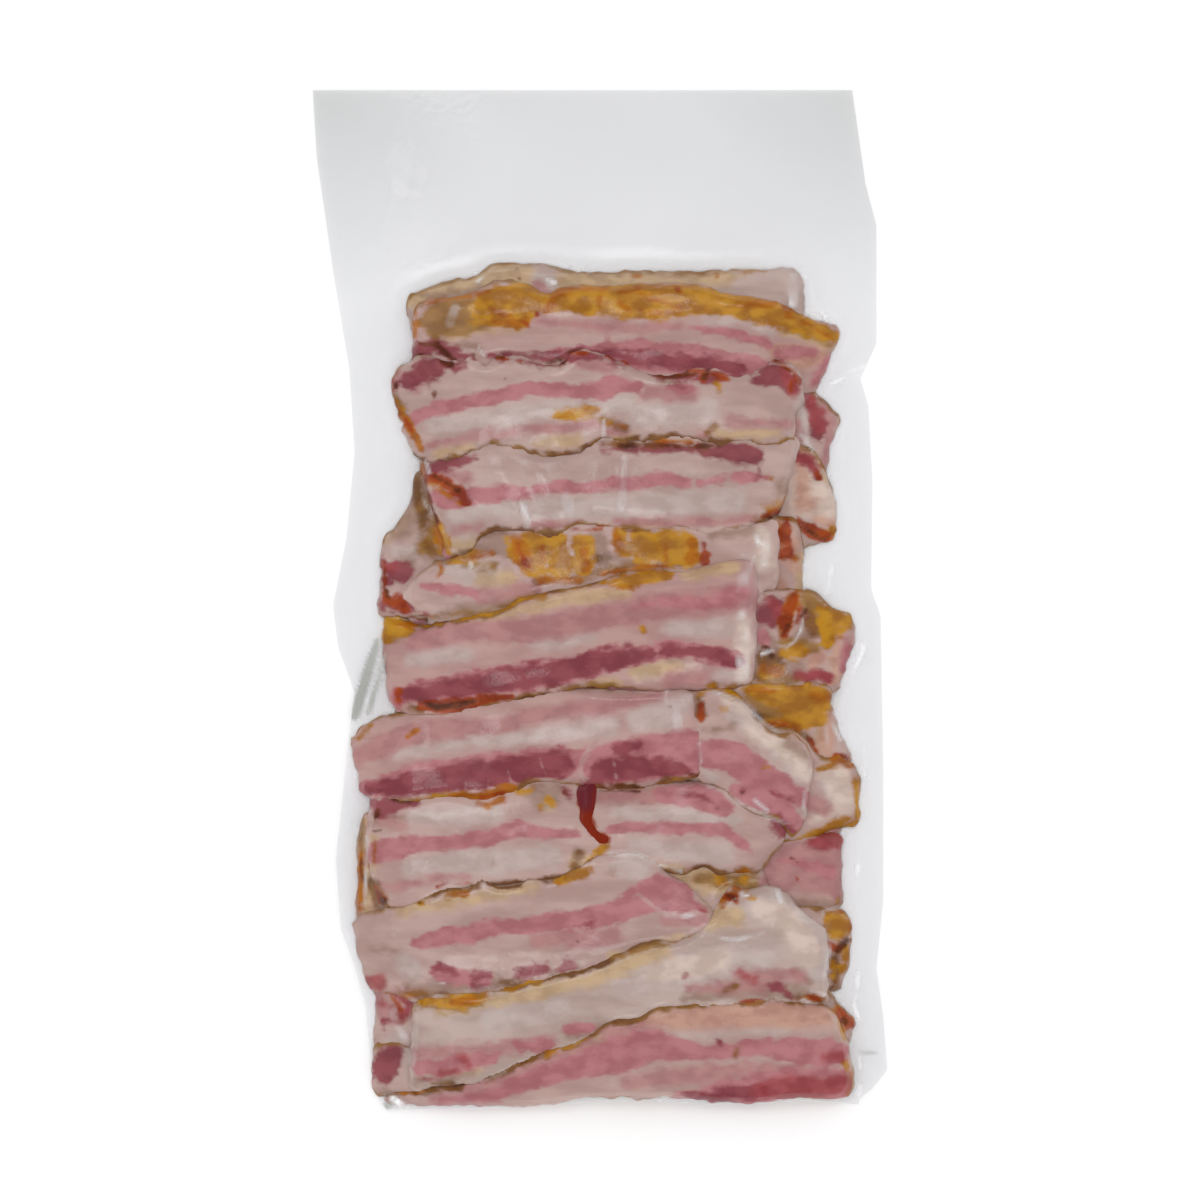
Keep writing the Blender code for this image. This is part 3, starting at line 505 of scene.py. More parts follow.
                (65, 89.5), (70, 88), (75.5, 83)),
         lower=((-68, 51), (-62, 50.5), (-55, 52), (-47, 55.5), (-43, 57), (-30, 55.8), (-22, 53.6),
                (-12, 53.6), (-3, 57), (2, 60), (8, 58.5), (16, 58.6), (26, 59.5), (35, 59), (42, 58.2),
                (55, 57), (66, 58), (71, 60)),
         white=[((-60, 65, 3), (-30, 68.5, 3.5), (-10, 72, 2.5), (10, 73, 3)), ((14, 68, 4), (40, 70, 4)),
                ((74.5, 76, 1), (74, 64, 1))],
         tan=[((-60, 54, 1.5), (-48, 57, 1)), ((-22, 58, 2), (-8, 59, 2)),
              ((44, 61.5, 1.5), (66, 61.5, 1.5)), ((6, 60, 1), (12, 60, 1))],
         dull=[((20, 84.4, 1.6), (24.6, 82, 3), (29, 79.5, 2)), ((-20, 88, 0.6), (-15, 88, 0.6)),
               ((-76, 76, 1), (-72, 70, 1.2))],
         blush=[((-75, 83, 2), (-68, 81, 3)), ((-10, 89, 2), (4, 86, 2.5)), ((18, 77, 2), (34, 76, 3)),
                ((-64, 57, 0.8), (-48, 60.2, 1.5), (-30, 62.6, 1.4), (-16, 64, 1.6), (-2, 65, 2)),
                ((48, 66, 1.6), (70, 65.5, 1.6)), ((4, 62, 1.5), (10, 61.5, 1)),
                ((36, 61, 0.8), (40, 61.5, 0.8))],
         lean=[((-72, 66.5, 2.5), (-66, 68.5, 2.6), (-58, 71.5, 2.6), (-50, 73.8, 2.6), (-42, 74.4, 2.4),
                (-34, 76.2, 2.6), (-26, 78.4, 2.6), (-18, 78, 2.8), (-10, 77, 2.6), (0, 78, 3.4),
                (8, 79.6, 3.2), (14, 79, 2)), ((26, 79, 1), (34, 78, 1.5))],
         deep=[((-71, 81.6, 3), (-65.6, 84.4, 4), (-60, 87, 3.4)), ((-58, 86, 1.5), (-50, 87, 1.2)),
               ((-74, 81, 1), (-76, 79, 0.6)), ((-24, 88, 1), (-12, 89, 1.2), (2, 90, 1.2), (8, 87, 1)),
               ((57.6, 81, 2), (64, 83.6, 4.6), (70, 80, 3.4)), ((-54, 85.5, 1),), ((-46, 89.5, 1),),
               ((-9, 90.5, 0.6), (-1, 90.5, 0.6)), ((62, 87, 1.2), (67, 87.5, 1)),
               ((-38, 89.4, 0.6), (-29, 88.8, 0.6), (-22, 87, 0.8), (-15, 87.4, 0.6)),
               ((18, 84, 1.2), (30, 82, 2.2), (44, 82, 1.4)), ((0, 89.6, 1.4), (8, 87, 1.6))],
         brown=[((-75.4, 75, 0.8), (-73, 71, 1.8), (-71, 67, 1)),
                ((1, 67.4, 0.8), (6, 64.6, 0.8), (10, 63.4, 1)), ((40, 62, 0.4), (43, 65, 0.6))],
         gold=[((-75.4, 74, 0.7), (-72.5, 70.4, 1.6)), ((-15, 68.2, 1.9), (-8, 69, 1.9), (-2, 70, 2.1)),
               ((0, 67.6, 0.5), (4, 66, 0.5)), ((44, 79.5, 0.6), (45, 77, 0.3))],
         amber=[((-75.6, 72.5, 1), (-72.4, 67.5, 1.8), (-69, 61, 2), (-66, 56, 1)),
                ((-4, 70.3, 0.3), (-2, 69, 0.3)), ((-15, 67.5, 0.2), (-9, 70.2, 0.1)),
                ((3, 65, 0.2), (10, 64, 0.3))],
         red=[((68.6, 84, 1.8), (72, 78, 2.4)), ((-77, 80, 1.2),)],
         rust=[((30, 83, 1), (34, 83.5, 1)), ((38.5, 81.5, 1.2), (40, 84.5, 1.2), (46, 82.5, 1.2)),
               ((-38, 89, 0.4), (-30, 88.6, 0.2)), ((70.5, 78, 0.6), (71, 81, 0.6)),
               ((28, 58.6, 0.5), (34, 58.6, 0.5)), ((-72, 67, 0.4), (-70, 63, 0.8)),
               ((-22, 87.4, 0.2), (-14, 88.4, 0.6)), ((-12, 91, 0.4), (-6, 91.4, 0.5)),
               ((30, 84.6, 1.2), (37, 84.4, 1.4), (46, 83.6, 1.2)),
               ((64, 88.4, 0.5), (72, 84, 0.8), (74, 80, 0.8)), ((2, 90, 0.4), (9, 87.6, 0.6))],
         # Painted shadow: the first char streak, at (-58, 88) on this slice's upper edge.
         char=[((-58, 88, 1.4), (-55, 87, 1)), ((-76, 79.5, 0.9),), ((-61.3, 76.6, 0.9),),
               ((-35, 82, 0.1),), ((39, 82, 0.8), (41, 85, 0.6)), ((30, 82.4, 0.4), (33, 82.4, 0.5)),
               ((65, 88, 0.3), (71, 84, 0.3)), ((26, 80.5, 0.2),), ((-40, 90, 0.1), (-36, 89.6, 0.3)),
               ((-20, 87.4, 0.3), (-14, 87.8, 0.6)), ((20, 83.6, 0.8), (28, 82.6, 1.2), (36, 83.4, 0.6))]),
    dict(name="row_7", bulge=1.5, tone=0.6,
         crust=((0.2,), (0.9, 0.5, 0.9, 1, 0.9, 0.5, 0.2, 0.6, 0.9, 0.6, 0.2)),
         upper=((-85.4, -70), (-60, -66), (-30, -64), (0, -64), (30, -66), (66, -70)),
         lower=((-84, -106), (-81, -112), (-74, -114.5), (-66, -114), (-60, -111.5), (-50, -109),
                (-43, -107), (-37, -107.5), (-25, -105), (-14, -104), (-4, -102), (3, -97), (9, -96),
                (17, -98), (25, -101), (30, -102), (38, -98.6), (44, -101.5), (52, -101), (59, -100),
                (64, -94), (69, -89.5)),
         white=[((-68, -80, 2.5), (-40, -79, 3.5)), ((-70, -99, 3), (-40, -96.5, 4.5), (-18, -95, 4)),
                ((12, -91, 2), (45, -94, 4.5)), ((6, -79, 2), (50, -81, 2.5))],
         tan=[((-84, -88, 0.8), (-84, -100, 1)), ((-9, -96, 3), (-6, -99, 2)),
              ((20, -98, 1), (30, -100, 1)), ((-20, -75, 1.6), (-19, -77, 1.4))],
         dull=[((-8.5, -93, 1.2), (-9, -97, 1.4)), ((-40, -94.5, -0.6), (-40, -98, -0.4)),
               ((0, -72, 2.4), (10, -72.4, 2.6), (20, -71.6, 2)),
               ((-26, -71.6, 2), (-20, -73, 4), (-17, -71, 3)), ((-84, -82, 1), (-72, -81, 1))],
         blush=[((-82, -82, 1.5), (-72, -84, 1)),
                ((-80, -106.5, 1.5), (-66, -104.6, 1), (-50, -102.6, 0.5)), ((0, -73, 2), (18, -73, 2)),
                ((-70, -76, 1), (-68, -75.5, 0.8))],
         lean=[((-83, -93.5, 3.8), (-74, -91.5, 3.8), (-64, -90, 3.3), (-57.5, -89.8, 2.8)),
               ((-54, -89.6, 2.8), (-46, -88.4, 2.8), (-40, -87.5, 2.6), (-34, -85.4, 2.8),
                (-30, -84.6, 3.2), (-23, -86, 2.2), (-10, -86.6, 1.6)),
               ((3.5, -85.3, 1.8), (15, -84.8, 1.9), (25, -84.4, 2), (36, -84.4, 1.8), (46, -84.6, 2),
                (50, -87.8, 1.8), (54, -91, 1), (56.5, -92.5, 0.2)),
               ((21.5, -72, 2.4), (28, -71.6, 4), (36, -72.4, 5), (42, -74.6, 4.6), (47.6, -77, 2.6))],
         deep=[((-84, -75, 2), (-81.6, -77.6, 3), (-77, -75.6, 4.6), (-72, -75, 3), (-68, -75.4, 1)),
               ((30, -71.8, 0.2), (38, -73, 0.8), (43, -76, 0.2)),
               ((64, -80, 1.4), (66, -84, 3.4), (69, -87.5, 2)), ((-12.5, -71, 1.6), (-10, -72.4, 1.4))],
         brown=[((-85, -105, 1.6), (-81, -111, 2)), ((-9, -93, 1.4), (-9.6, -98, 1.6), (-8, -101, 1.4))],
         gold=[((0.5, -92, 1.4), (-1.5, -96, 2.2), (-4, -99, 2)), ((-30, -70.6, 1.2), (-26, -70.6, 1.2)),
               ((-19, -73.6, 0.8), (-18, -76, 0.7)), ((-22, -76.6, 0.6),)],
         amber=[((-83.5, -90, 0.2), (-84, -98, 0.5)), ((50, -101, 0.8), (54, -101, 0.8)),
                ((-47, -75, 0.8), (-42.6, -76, 1), (-36, -73.6, 0.8))],
         rust=[((-60, -106.4, 0.1), (-48, -104.6, 0.1)), ((2.4, -88.6, 0.8),),
               ((-4.8, -72, 3), (-4.8, -80, 2), (-3, -86, 1), (1.4, -88.6, 1)),
               ((-84.6, -107, 0.6), (-81.6, -111, 1.6))],
         char=[((-84, -80.4, 0.6), (-82.4, -78, 0.4)), ((-83, -108.4, 0.2), (-80.6, -111.6, 0.8)),
               ((-84, -85.5, 0.2), (-82, -85.5, 0.2)), ((0, -71.2, 0), (14, -71.5, 0.1)),
               ((70, -89.5, 0.5), (70.6, -92, 0.3)), ((-13, -71, 0.5), (-11, -72.5, 0.4)),
               ((-76, -73.6, 0.4), (-70, -75, 0.4))]),
    dict(name="row_6_right", bulge=0.5, tone=0.5, crust=((0.2, 0.5, 0.2, 0.6, 0.3), (0, 0.4, 0.5, 0.2)),
         upper=((30, -33), (36, -34), (42, -31.5), (50, -34), (56, -40.6), (61, -46.5), (66, -49),
                (72, -49.4), (76, -53), (79, -59)),
         lower=((30, -62), (38, -67.5), (46, -71), (52, -76.5), (60, -80), (66, -82), (71, -88), (76, -82)),
         # Painted highlights: the last white streak, on a crease, and the first cream streak, on the top
         # edge.
         white=[((38, -60, 1.5), (41, -66, 1.5)), ((50, -42, 3), (62, -52, 3), (74, -64, 3)),
                ((58, -77.5, 0.2), (68, -81.6, 0.2))],
         cream=[((46, -37, 0.8), (54, -40, 1.4), (59, -45, 1.2)),
                ((56, -48, 3), (68, -54, 3.4), (76, -64, 2))],
         dull=[((38, -48, 0.4), (49, -47, 0.6)), ((71, -54, 2), (75, -57, 1.6))],
         lean=[((40, -57, 5), (50, -58, 6), (56, -64, 5.5), (64, -67.5, 6), (71, -71.5, 4), (78, -74, 2.6)),
               ((50, -69.6, 2.4), (60, -74, 4.4), (68, -78, 4.4), (72, -83, 3))],
         deep=[((62, -70.6, 0), (72, -74, 0.2)), ((66, -82.5, 2.4), (70, -86, 1.8)), ((52, -70.4, 0.8),)],
         brown=[((35.6, -36, 1), (36.6, -42, 2)),
                ((40, -32.4, 0.8), (48, -33.6, 1), (55, -37.4, 1.2), (59, -43, 1))],
         gold=[((36, -35, 0.6), (42, -32, 1.2), (48, -33.5, 1.2), (54, -36.6, 0.8)),
               ((60.5, -62.5, 0.6), (63, -62, 0.6)), ((44, -39.5, 0.3), (46.5, -40, 0.3))],
         rust=[((36.6, -38, 0.6), (37, -42, 1.2), (36.8, -44.6, 0.8))],
         # Painted shadow: the second char streak, under the crease.
         char=[((52, -71, 0.1), (53, -71, 0.1)), ((51, -76.8, 0.1), (54, -77.6, 0.1))]),
    dict(name="row_6", bulge=0.8, tone=0.9, crust=((0.4, 0.1), (0, 0.5, 0.6, 0.9, 0.3, 0.8, 0.9, 0.6)),
         upper=((-92.5, -51), (-90, -47.5), (-84, -44), (-74, -42), (-48, -36), (-20, -31), (0, -33),
                (34, -33.5)),
         lower=((-88, -74), (-84, -74), (-78, -73.6), (-70, -74.5), (-58, -73.2), (-45, -73.8), (-36, -72),
                (-30, -70), (-24, -67.5), (-12, -68.5), (-6, -70), (8, -70.4), (18, -69.4), (25, -68),
                (37, -66.5)),
         white=[((-76, -57, 2), (-50, -52.5, 2.5), (-22, -50.5, 2.2), (4, -47, 3)),
                ((14, -44, 4), (26, -42, 5), (31, -38, 3)), ((-24, -68.5, 1), (-14, -68, 1))],
         dull=[((-20, -68, 1), (-12, -69, 1))],
         blush=[((-90, -58, 3), (-82, -55, 4.5), (-70, -49.5, 4), (-56, -48, 3.5), (-40, -46, 2.6),
                 (-20, -42, 2.6), (0, -40, 2.5), (12, -37.5, 2.5), (22, -35.5, 1.5)),
                ((33, -50, 1.5), (33, -62, 1.5))],
         lean=[((-89, -70, 2.6), (-82, -70, 4.5), (-72, -67, 5), (-60, -65.2, 5.6), (-48, -63.6, 6),
                (-36, -62.4, 6.2), (-24, -61, 5.8), (-12, -60, 5.2)), ((-8, -56.5, 1.6), (-5, -55, 0.4)),
               ((0, -61, 6.6), (8, -59.5, 8), (20, -58.5, 9), (30, -57, 8.6), (36, -57, 8.2))],
         deep=[((-84, -70.6, 3), (-72, -68.6, 4.2), (-58, -66.4, 4.8), (-44, -64.4, 5.2), (-28, -62.4, 5.2),
                (-14, -60.6, 4.6)), ((2, -63, 5), (10, -62.5, 5), (22, -62, 3.6), (31, -62.5, 2.4)),
               ((6, -55, 2), (14, -54, 2)), ((33, -64.6, 0.8), (36, -65, 0.8)),
               ((-7, -68.6, 1.2), (-1, -67, 3))],
         vein=[((-1.5, -52, 0.4), (-4.5, -57, 0.5), (-8, -63, 0.7), (-12, -68, 1)),
               ((-34.5, -62, -0.1), (-33, -67, 0.3), (-29, -69, 0.3)), ((-22, -59, -0.3), (-21, -65, -0.2)),
               ((-42, -66, -0.1), (-42, -71, 0.1)), ((4, -57, -0.2), (6, -66, -0.1)),
               ((-50, -64, -0.3), (-50, -70, -0.1))],
         gold=[((-90, -50.5, 1), (-86.6, -47.6, 1.2)), ((-68, -73.6, 0.3), (-52, -72.6, 0.8)),
               ((18, -69, 0.3), (28, -67.6, 0.4))],
         amber=[((-56, -73, 0.8), (-47, -72.4, 1.6), (-41, -72, 2.4), (-35, -70.6, 2.4), (-32, -69.6, 1.2)),
                ((-72, -50.5, 0.3), (-68, -48, 0.4)), ((22, -68.5, 0.2), (25, -68, 0.2))],
         rust=[((-45, -73.2, 0.8), (-36, -72, 1))],
         char=[((25.5, -39.5, 0.1),), ((32, -64.5, 0.3), (36, -65, 0.3)),
               ((0, -69.6, 0), (14, -69.6, 0.2))]),
    dict(name="row_5", bulge=1.2, tone=1,
         crust=((0.9, 0.8, 0.7, 0.6, 0.4, 0, 0), (0, 0.5, 0.7, 0.7, 0.3, 0, 0.6)),
         upper=((-81, -5), (-74, -6), (-66, -8.5), (-55, -7), (-44, -5), (-37, -3.2), (-30, 0), (-20, 2.8),
                (-8, 5), (2, 7), (12, 10), (20, 11), (30, 11), (38, 12.6), (46, 14.5), (57, 15.5)),
         lower=((-77, -40), (-70, -42.5), (-60, -43), (-48, -40.5), (-36, -38.4), (-24, -36), (-12, -33.4),
                (-2, -32), (10, -32.5), (24, -33), (36, -33), (45, -33), (57, -32)),
         # Partly painted highlight: the white and cream streaks down the right end at x 52 to 54.
         white=[((-70, -22, 2.5), (-50, -20, 2.5)), ((-24, -16.6, 1.6), (-4, -14.5, 2)),
                ((26, -10.5, 2.4), (46, -10.5, 3.4)), ((52, -8, 2.6), (53, -16, 3)),
                ((54, -28, 2), (44, -28.5, 2))],
         cream=[((52, -8, 2), (53, -16, 3), (54, -28, 2.4)), ((14, -27, 2), (34, -26, 2.4))],
         tan=[((-52, -7.5, 1), (-30, -4, 2), (-10, 1, 2.6), (10, 3, 1.6)), ((32, 9, 1.6), (50, 12, 2.4)),
              ((12, -26, 2), (28, -25, 2.4)), ((-8, -33, 0.8), (6, -30, 1.6))],
         dull=[((26, -21.6, 0.8), (31, -21.8, 0.4))],
         blush=[((-70, -15, 3.5), (-58, -13, 4), (-44, -11.6, 3.8), (-28, -11, 4.2), (-12, -9, 4.4),
                 (0, -6.6, 4.4), (14, -4, 4.4), (28, -2, 4.4), (56, 1.5, 4.6)),
                ((26, -29, 3), (36, -29, 2.6))],
         lean=[((12, -2, 0.6), (36, -1, 2.6), (50, 1, 3), (53, 1.4, 2.4)),
               ((-75, -36, 3), (-66, -34, 4.4), (-54, -32.4, 4.4), (-44, -30.4, 5), (-30, -28.6, 5.6),
                (-20, -27.4, 5), (-11, -26, 4.8), (-3, -23.4, 4.8), (6, -21.4, 4.8), (19, -19.8, 3.4)),
               ((22, -18.4, 3), (29, -18, 3), (36, -19.4, 3), (44, -21.6, 3.8), (50, -22.4, 3),
                (53, -22.6, 1.2))],
         deep=[((-72, -35.4, 2.4), (-62, -34, 3.4), (-52, -32.6, 3.6), (-44, -30.4, 4.2), (-30, -28.6, 4.8),
                (-18, -27, 4.4), (-4, -23.6, 4.2), (8, -21.2, 4), (18, -19.8, 2.6)),
               ((23, -18.6, 2), (34, -19, 2.2), (44, -21.6, 3), (51, -22.6, 2)),
               ((-14, -25.6, 3), (0, -22.6, 3.6))],
         olive=[((-84, -11, 2.6), (-80, -14, 2.4)), ((-76, -8, 0.8), (-68, -8, 1.4)),
                ((-78, -12, 5), (-74, -10, 4.4))],
         brown=[((-74, -7, 0.8), (-66, -9, 1), (-58, -8, 0.6)),
                ((40, -31.8, 0.6), (48, -32.6, 1), (56, -32.6, 1)), ((-70, -39, 1.4), (-66, -40.6, 1.2))],
         gold=[((-82, -10, 3), (-79, -12, 4.6), (-75, -10.6, 4)),
               ((2, 6.4, 1), (10, 7, 2.4), (20, 8.4, 2.8), (26, 9.4, 2)), ((-66, -9, 1), (-60, -8.4, 0.4)),
               ((15.8, -11, 0.6), (16.2, -12.8, 0.7)),
               ((-58, -8, 0.2), (-46, -5.6, 0.6), (-34, -2.4, 1), (-20, 2, 0.6)),
               ((40, -32.4, 0.5), (54, -33, 0.8))],
         amber=[((-76, -9, 0.6), (-70, -8.6, 1.4)), ((-43, -36.6, 1), (-35, -36, 1)),
                ((42, -32.6, 0.2), (52, -33.4, 0.3)), ((2, 5.2, 0.3), (12, 4.4, 0.3))],
         red=[((-75, -34, 1.4), (-74.6, -38, 1.2))],
         rust=[((-74.6, -37, 1), (-74, -33.5, 1.2)),
               ((-66, -38.6, 1.6), (-58, -39.6, 3), (-50, -38.2, 3), (-42, -36.6, 1.6), (-32, -35.6, 1))],
         char=[((-64, -38.4, 0.2), (-60, -40, 1.2), (-53, -38.6, 1.2), (-46, -36.6, 0.4)),
               ((-30, -36.6, 0.2), (-20, -34.8, 0.2)), ((-72, -38.5, 0), (-66, -36.5, 0.2)),
               ((-64, -9, 0.2), (-56, -8, 0.2))]),
    dict(name="row_8", bulge=2.5, tone=0.5,
         crust=((0.2, 0.3, 0.4, 0.8, 0.9, 0.9, 0.9, 0.7, 0.2, 0.1, 0.1, 0.2), (0,)),
         upper=((-91, -118), (-85, -115.8), (-78, -114.2), (-72, -113), (-66, -110.6), (-60, -107),
                (-50, -105.6), (-42, -103.6), (-38, -105), (-31.5, -104), (-25, -103), (-15, -101.4),
                (-9, -98.6), (-2, -95), (4, -93), (14, -93.5), (20, -96.5), (26, -101.5), (34, -107),
                (40, -114)),
         lower=((-83.5, -147), (-77, -146), (-68, -149), (-20, -146), (20, -134), (42, -127)),
         # Painted highlight: the last white streak.
         white=[((8, -98, 3.5), (15, -99, 4)), ((-72, -134, 3), (-68, -139, 3)),
                ((26, -117.2, 0.8), (34, -117, 1))],
         tan=[((-74, -114.5, 1.4), (-60, -113, 2), (-42, -109, 2), (-24, -106, 2)),
              ((4, -133, 1.5), (30, -125, 1))],
         dull=[((-70, -144.6, 2.4), (-60, -143.4, 3.2), (-50, -142.8, 3.6), (-38, -141, 3)),
               ((-84, -129.6, 0), (-75, -129.6, 0)), ((5, -101, 0.2),), ((-18, -138, 1), (-10, -136, 1.6))],
         blush=[((-58, -139, 2.4), (-42, -140, 2)), ((-24, -125, 2.5), (-8, -126, 3.4), (6, -124, 3)),
                ((-76, -145, 1), (-68, -146, 1.6)), ((24, -119, 2), (38, -118, 2.5))],
         lean=[((-68.5, -126.6, 1.6), (-62, -125.6, 2.8), (-54, -124.2, 3.6), (-47, -123.4, 3.6),
                (-41, -121.4, 3.4), (-34, -120.8, 3), (-24, -119.8, 3.4), (-14, -118.8, 3.8),
                (-5, -118, 4.2), (2, -116.4, 4.6), (9, -114, 5.2), (16, -110.6, 6.6), (22, -108, 6.8),
                (28, -109.6, 6), (33, -112.6, 2.6), (38.6, -115, 0.6)),
               ((-60, -137.6, 2), (-52, -140, 3), (-42, -139.6, 2.6))],
         deep=[((-60, -136, 1.6), (-55, -137.8, 1.6)), ((-46, -138.4, 1.8), (-41.4, -138.6, 1.8)),
               ((-29.4, -138.6, 2.4), (-24, -137, 3), (-20, -136, 2)),
               ((-15, -135.6, 1.2), (-12, -134.6, 2.2)), ((-10, -120.4, 0.8), (-3, -120.6, 1.6)),
               ((-46.6, -142.6, 1), (-43, -142.8, 0.8))],
         vein=[((14, -108.5, 0.3), (24, -116.4, 0.5), (30, -117, 0.4))],
         brown=[((-74, -145.6, 1), (-68, -146, 1.4), (-58, -146, 0.8)),
                ((-36, -141.6, 0.6), (-30, -141.6, 0.8)), ((-62, -108.6, 0.6), (-44, -104.8, 0.8))],
         gold=[((-57, -109, 0.8), (-51, -108.4, 1.4)), ((-15, -104, 1.4), (-8, -102, 2.2), (-3, -100, 1.6)),
               ((-66.5, -112, 0.8),)],
         amber=[((-55, -109.4, 0.4), (-49, -108, 0.7)), ((-14.6, -104.6, 0.6),),
                ((-79, -145.4, 0.4), (-70, -147, 0.6))],
         red=[((-86.4, -141, 2.6), (-81.6, -141.8, 2.8)), ((37, -114.4, 0.5), (39, -115, 0.4))],
         rust=[((-77, -146, 0.2), (-72, -148, 0.6))],
         char=[((-47, -121.3, -0.2),), ((-42.4, -118.4, -0.1),), ((-9, -126.6, -0.1),),
               ((-67, -111.8, 0.1),), ((14, -127.4, -0.2), (28, -125.6, -0.2))]),
    dict(name="row_9", bulge=0, tone=0.05, crust=((0.6, 0.5, 0.7, 1, 1, 0.6, 0.1, 0.2, 0.1, 0.1), (0,)),
         upper=((-70, -150), (-64.5, -147), (-52, -145.5), (-42, -144.6), (-30, -142), (-20, -139.6),
                (-10, -137.4), (0, -134.2), (9, -130), (14, -127.4), (27, -125.6), (36, -123.2), (41, -118),
                (44, -112), (49, -106.5), (56, -107), (62, -105.5), (67, -107.5), (74, -114), (80, -119),
                (85, -123)),
         lower=((-70.5, -182.4), (-46, -182), (-3, -166), (40, -155), (84, -150)),
         # Painted highlight: the fourth white streak, at the left end.
         white=[((58, -113, 4), (65, -110, 3.4)), ((70, -116, 5), (80, -126, 5), (81, -137, 4)),
                ((10, -142, 5), (30, -137, 6), (60, -131, 6)), ((-70, -160, 1.4), (-69, -172, 1.4)),
                ((-40, -156, 4), (-16, -151, 4))],
         cream=[((60, -114, 3), (70, -119, 5), (77, -130, 5)), ((20, -139, 3), (44, -133, 4))],
         tan=[((-60, -152.6, 1.4), (-30, -146, 2), (0, -139, 2.4), (24, -130, 2.4)),
              ((42, -118, 4), (49, -117, 4)), ((-52, -174, 1.4), (-46, -174, 1))],
         peach=[((72, -148, 1), (82, -147.6, 1.6))],
         dull=[((32, -148, 1), (50, -144.4, 3), (62, -144, 4), (74, -145, 3)),
               ((-12, -160.6, 1.4), (0, -158, 1.4)), ((72, -138, 1), (76, -141, 1.4)),
               ((-68, -178, 1.6), (-56, -177, 1.6), (-48, -175, 1.6))],
         blush=[((-68, -168, 2.4), (-54, -166.6, 2.6), (-36, -165.6, 2.4), (-18, -163, 2)),
                ((52, -138.6, 2.2), (74, -139, 2.4)), ((34, -143.6, 1.4), (60, -143, 3))],
         lean=[((-66, -173, 3), (-58, -173, 3.4), (-50, -171, 3), (-40, -169, 3)),
               ((-30, -165, 2.4), (-20, -164.6, 2.6)), ((-12, -158.8, 2.2), (-3, -158, 1.6)),
               ((-64, -178, 0.8), (-60, -178, 1))],
         deep=[((63, -142.6, 1.4), (68, -144.4, 1.6), (69.4, -146.6, 1)),
               ((-65, -178, 0.6), (-62.6, -178, 0.8)), ((31.3, -139.6, 0.7),)],
         olive=[((-67, -150.8, 0.8), (-54, -151.4, 1.4), (-45, -149.4, 1)),
                ((4, -132.6, 0.4), (12, -130, 0.8), (26, -127, 0.4))],
         brown=[((-34, -142.6, 0.4), (-20, -139.4, 0.8), (-4, -135.4, 0.8)),
                ((46, -144, 0.4), (51, -143, 1)), ((73, -146.4, 1), (82, -148, 1.2)),
                ((-62, -179.6, 0.6), (-55, -178.8, 1.2))],
         gold=[((-66, -149, 1.6), (-57, -148.8, 2.6), (-48, -147.8, 3), (-43, -145.6, 1.6)),
               ((45, -104, 1.4), (45, -111.4, 1.6)), ((54, -109, 0.8), (58, -110, 0.6)),
               ((-38, -144, 0.8), (-22, -140.6, 0.8))],
         amber=[((-54, -148.6, 1), (-47, -147.6, 1.6)),
                ((50.5, -103.6, 1.4), (49.5, -107, 2), (46, -111.4, 1.6)),
                ((74, -147.4, 0.6), (82, -147, 0.8))],
         red=[((-59, -174.6, 0.8), (-54, -174, 1)), ((-51, -169, 1.6), (-49.6, -172, 1.2)),
              ((53, -137.6, 0.8), (57, -140.4, 1.4))],
         rust=[((46.6, -108.8, 1.4), (50.4, -110.4, 1.4)), ((52, -149, 0.6), (60, -148.2, 0.4)),
               ((76, -146, 0.4), (80, -147.4, 0.6))],
         char=[((47.6, -108.6, 0.3), (50.6, -110.6, 0.3))]),
    dict(name="row_10", bulge=3, tone=0.6, crust=((0.5, 0.9, 0.8, 0.9, 0.7, 0.7, 0.5, 0.6, 0.7, 0.6), (0,)),
         upper=((-78, -183), (-70, -182.2), (-62, -180.4), (-52, -179), (-46, -177.4), (-38, -174.6),
                (-29, -170.6), (-19, -166.6), (-8, -162.4), (0, -158.6), (4, -156), (12, -155),
                (16, -153.4), (26, -150.6), (40, -149.4), (52, -148.6), (62, -148), (74, -149),
                (86, -150.4)),
         lower=((-76, -187.4), (-45, -187.2), (-17, -187), (-10, -185.4), (15, -183.9), (28, -184.8),
                (40, -185.8), (60, -186), (77, -184.4), (86, -185), (93, -185.3)),
         white=[((6, -178, 0.6), (24, -175, 0.6)), ((30, -161.4, 0.4), (70, -159.4, 0.8))],
         tan=[((-16, -168, 1.5), (2, -162, 2)), ((92, -176, 1), (93, -181, 1))],
         peach=[((4, -160, 1), (16, -156, 2), (34, -154, 4), (50, -153.6, 4.6), (66, -153, 4.6),
                 (82, -154, 4.4))],
         blush=[((-60, -184.6, 3), (-44, -181.6, 5), (-24, -174.6, 5), (-4, -167.6, 6)),
                ((4, -164, 5), (20, -160, 3)), ((0, -160, 1), (14, -157.6, 2)),
                ((10, -178, 2.4), (40, -175.6, 3.8), (64, -173.4, 2.6), (86, -174.4, 1.4))],
         lean=[((-58, -185, 1), (-46, -184.4, 1.8), (-36, -181.6, 2.6), (-24, -176.6, 3.6),
                (-10, -173, 4.6), (0, -170, 5.6), (8, -168, 6.4), (14, -166, 7), (22, -165, 5.4),
                (30, -166.4, 4), (38, -166.8, 3), (48, -166.8, 2.8), (58, -165.6, 3.2), (68, -165.8, 4),
                (76, -166.6, 4.8), (84, -167.6, 5), (89, -168, 3.8)),
               ((27, -184.6, 1), (36, -184, 2.4), (46, -182.4, 4.4), (58, -181, 6), (68, -180, 7),
                (78, -180, 6.4), (91, -179.6, 5))],
         deep=[((32, -184.6, 1), (44, -183.6, 2.4), (54, -182.6, 3.6), (60, -181.8, 3)),
               ((43.4, -162.6, 0.9),)],
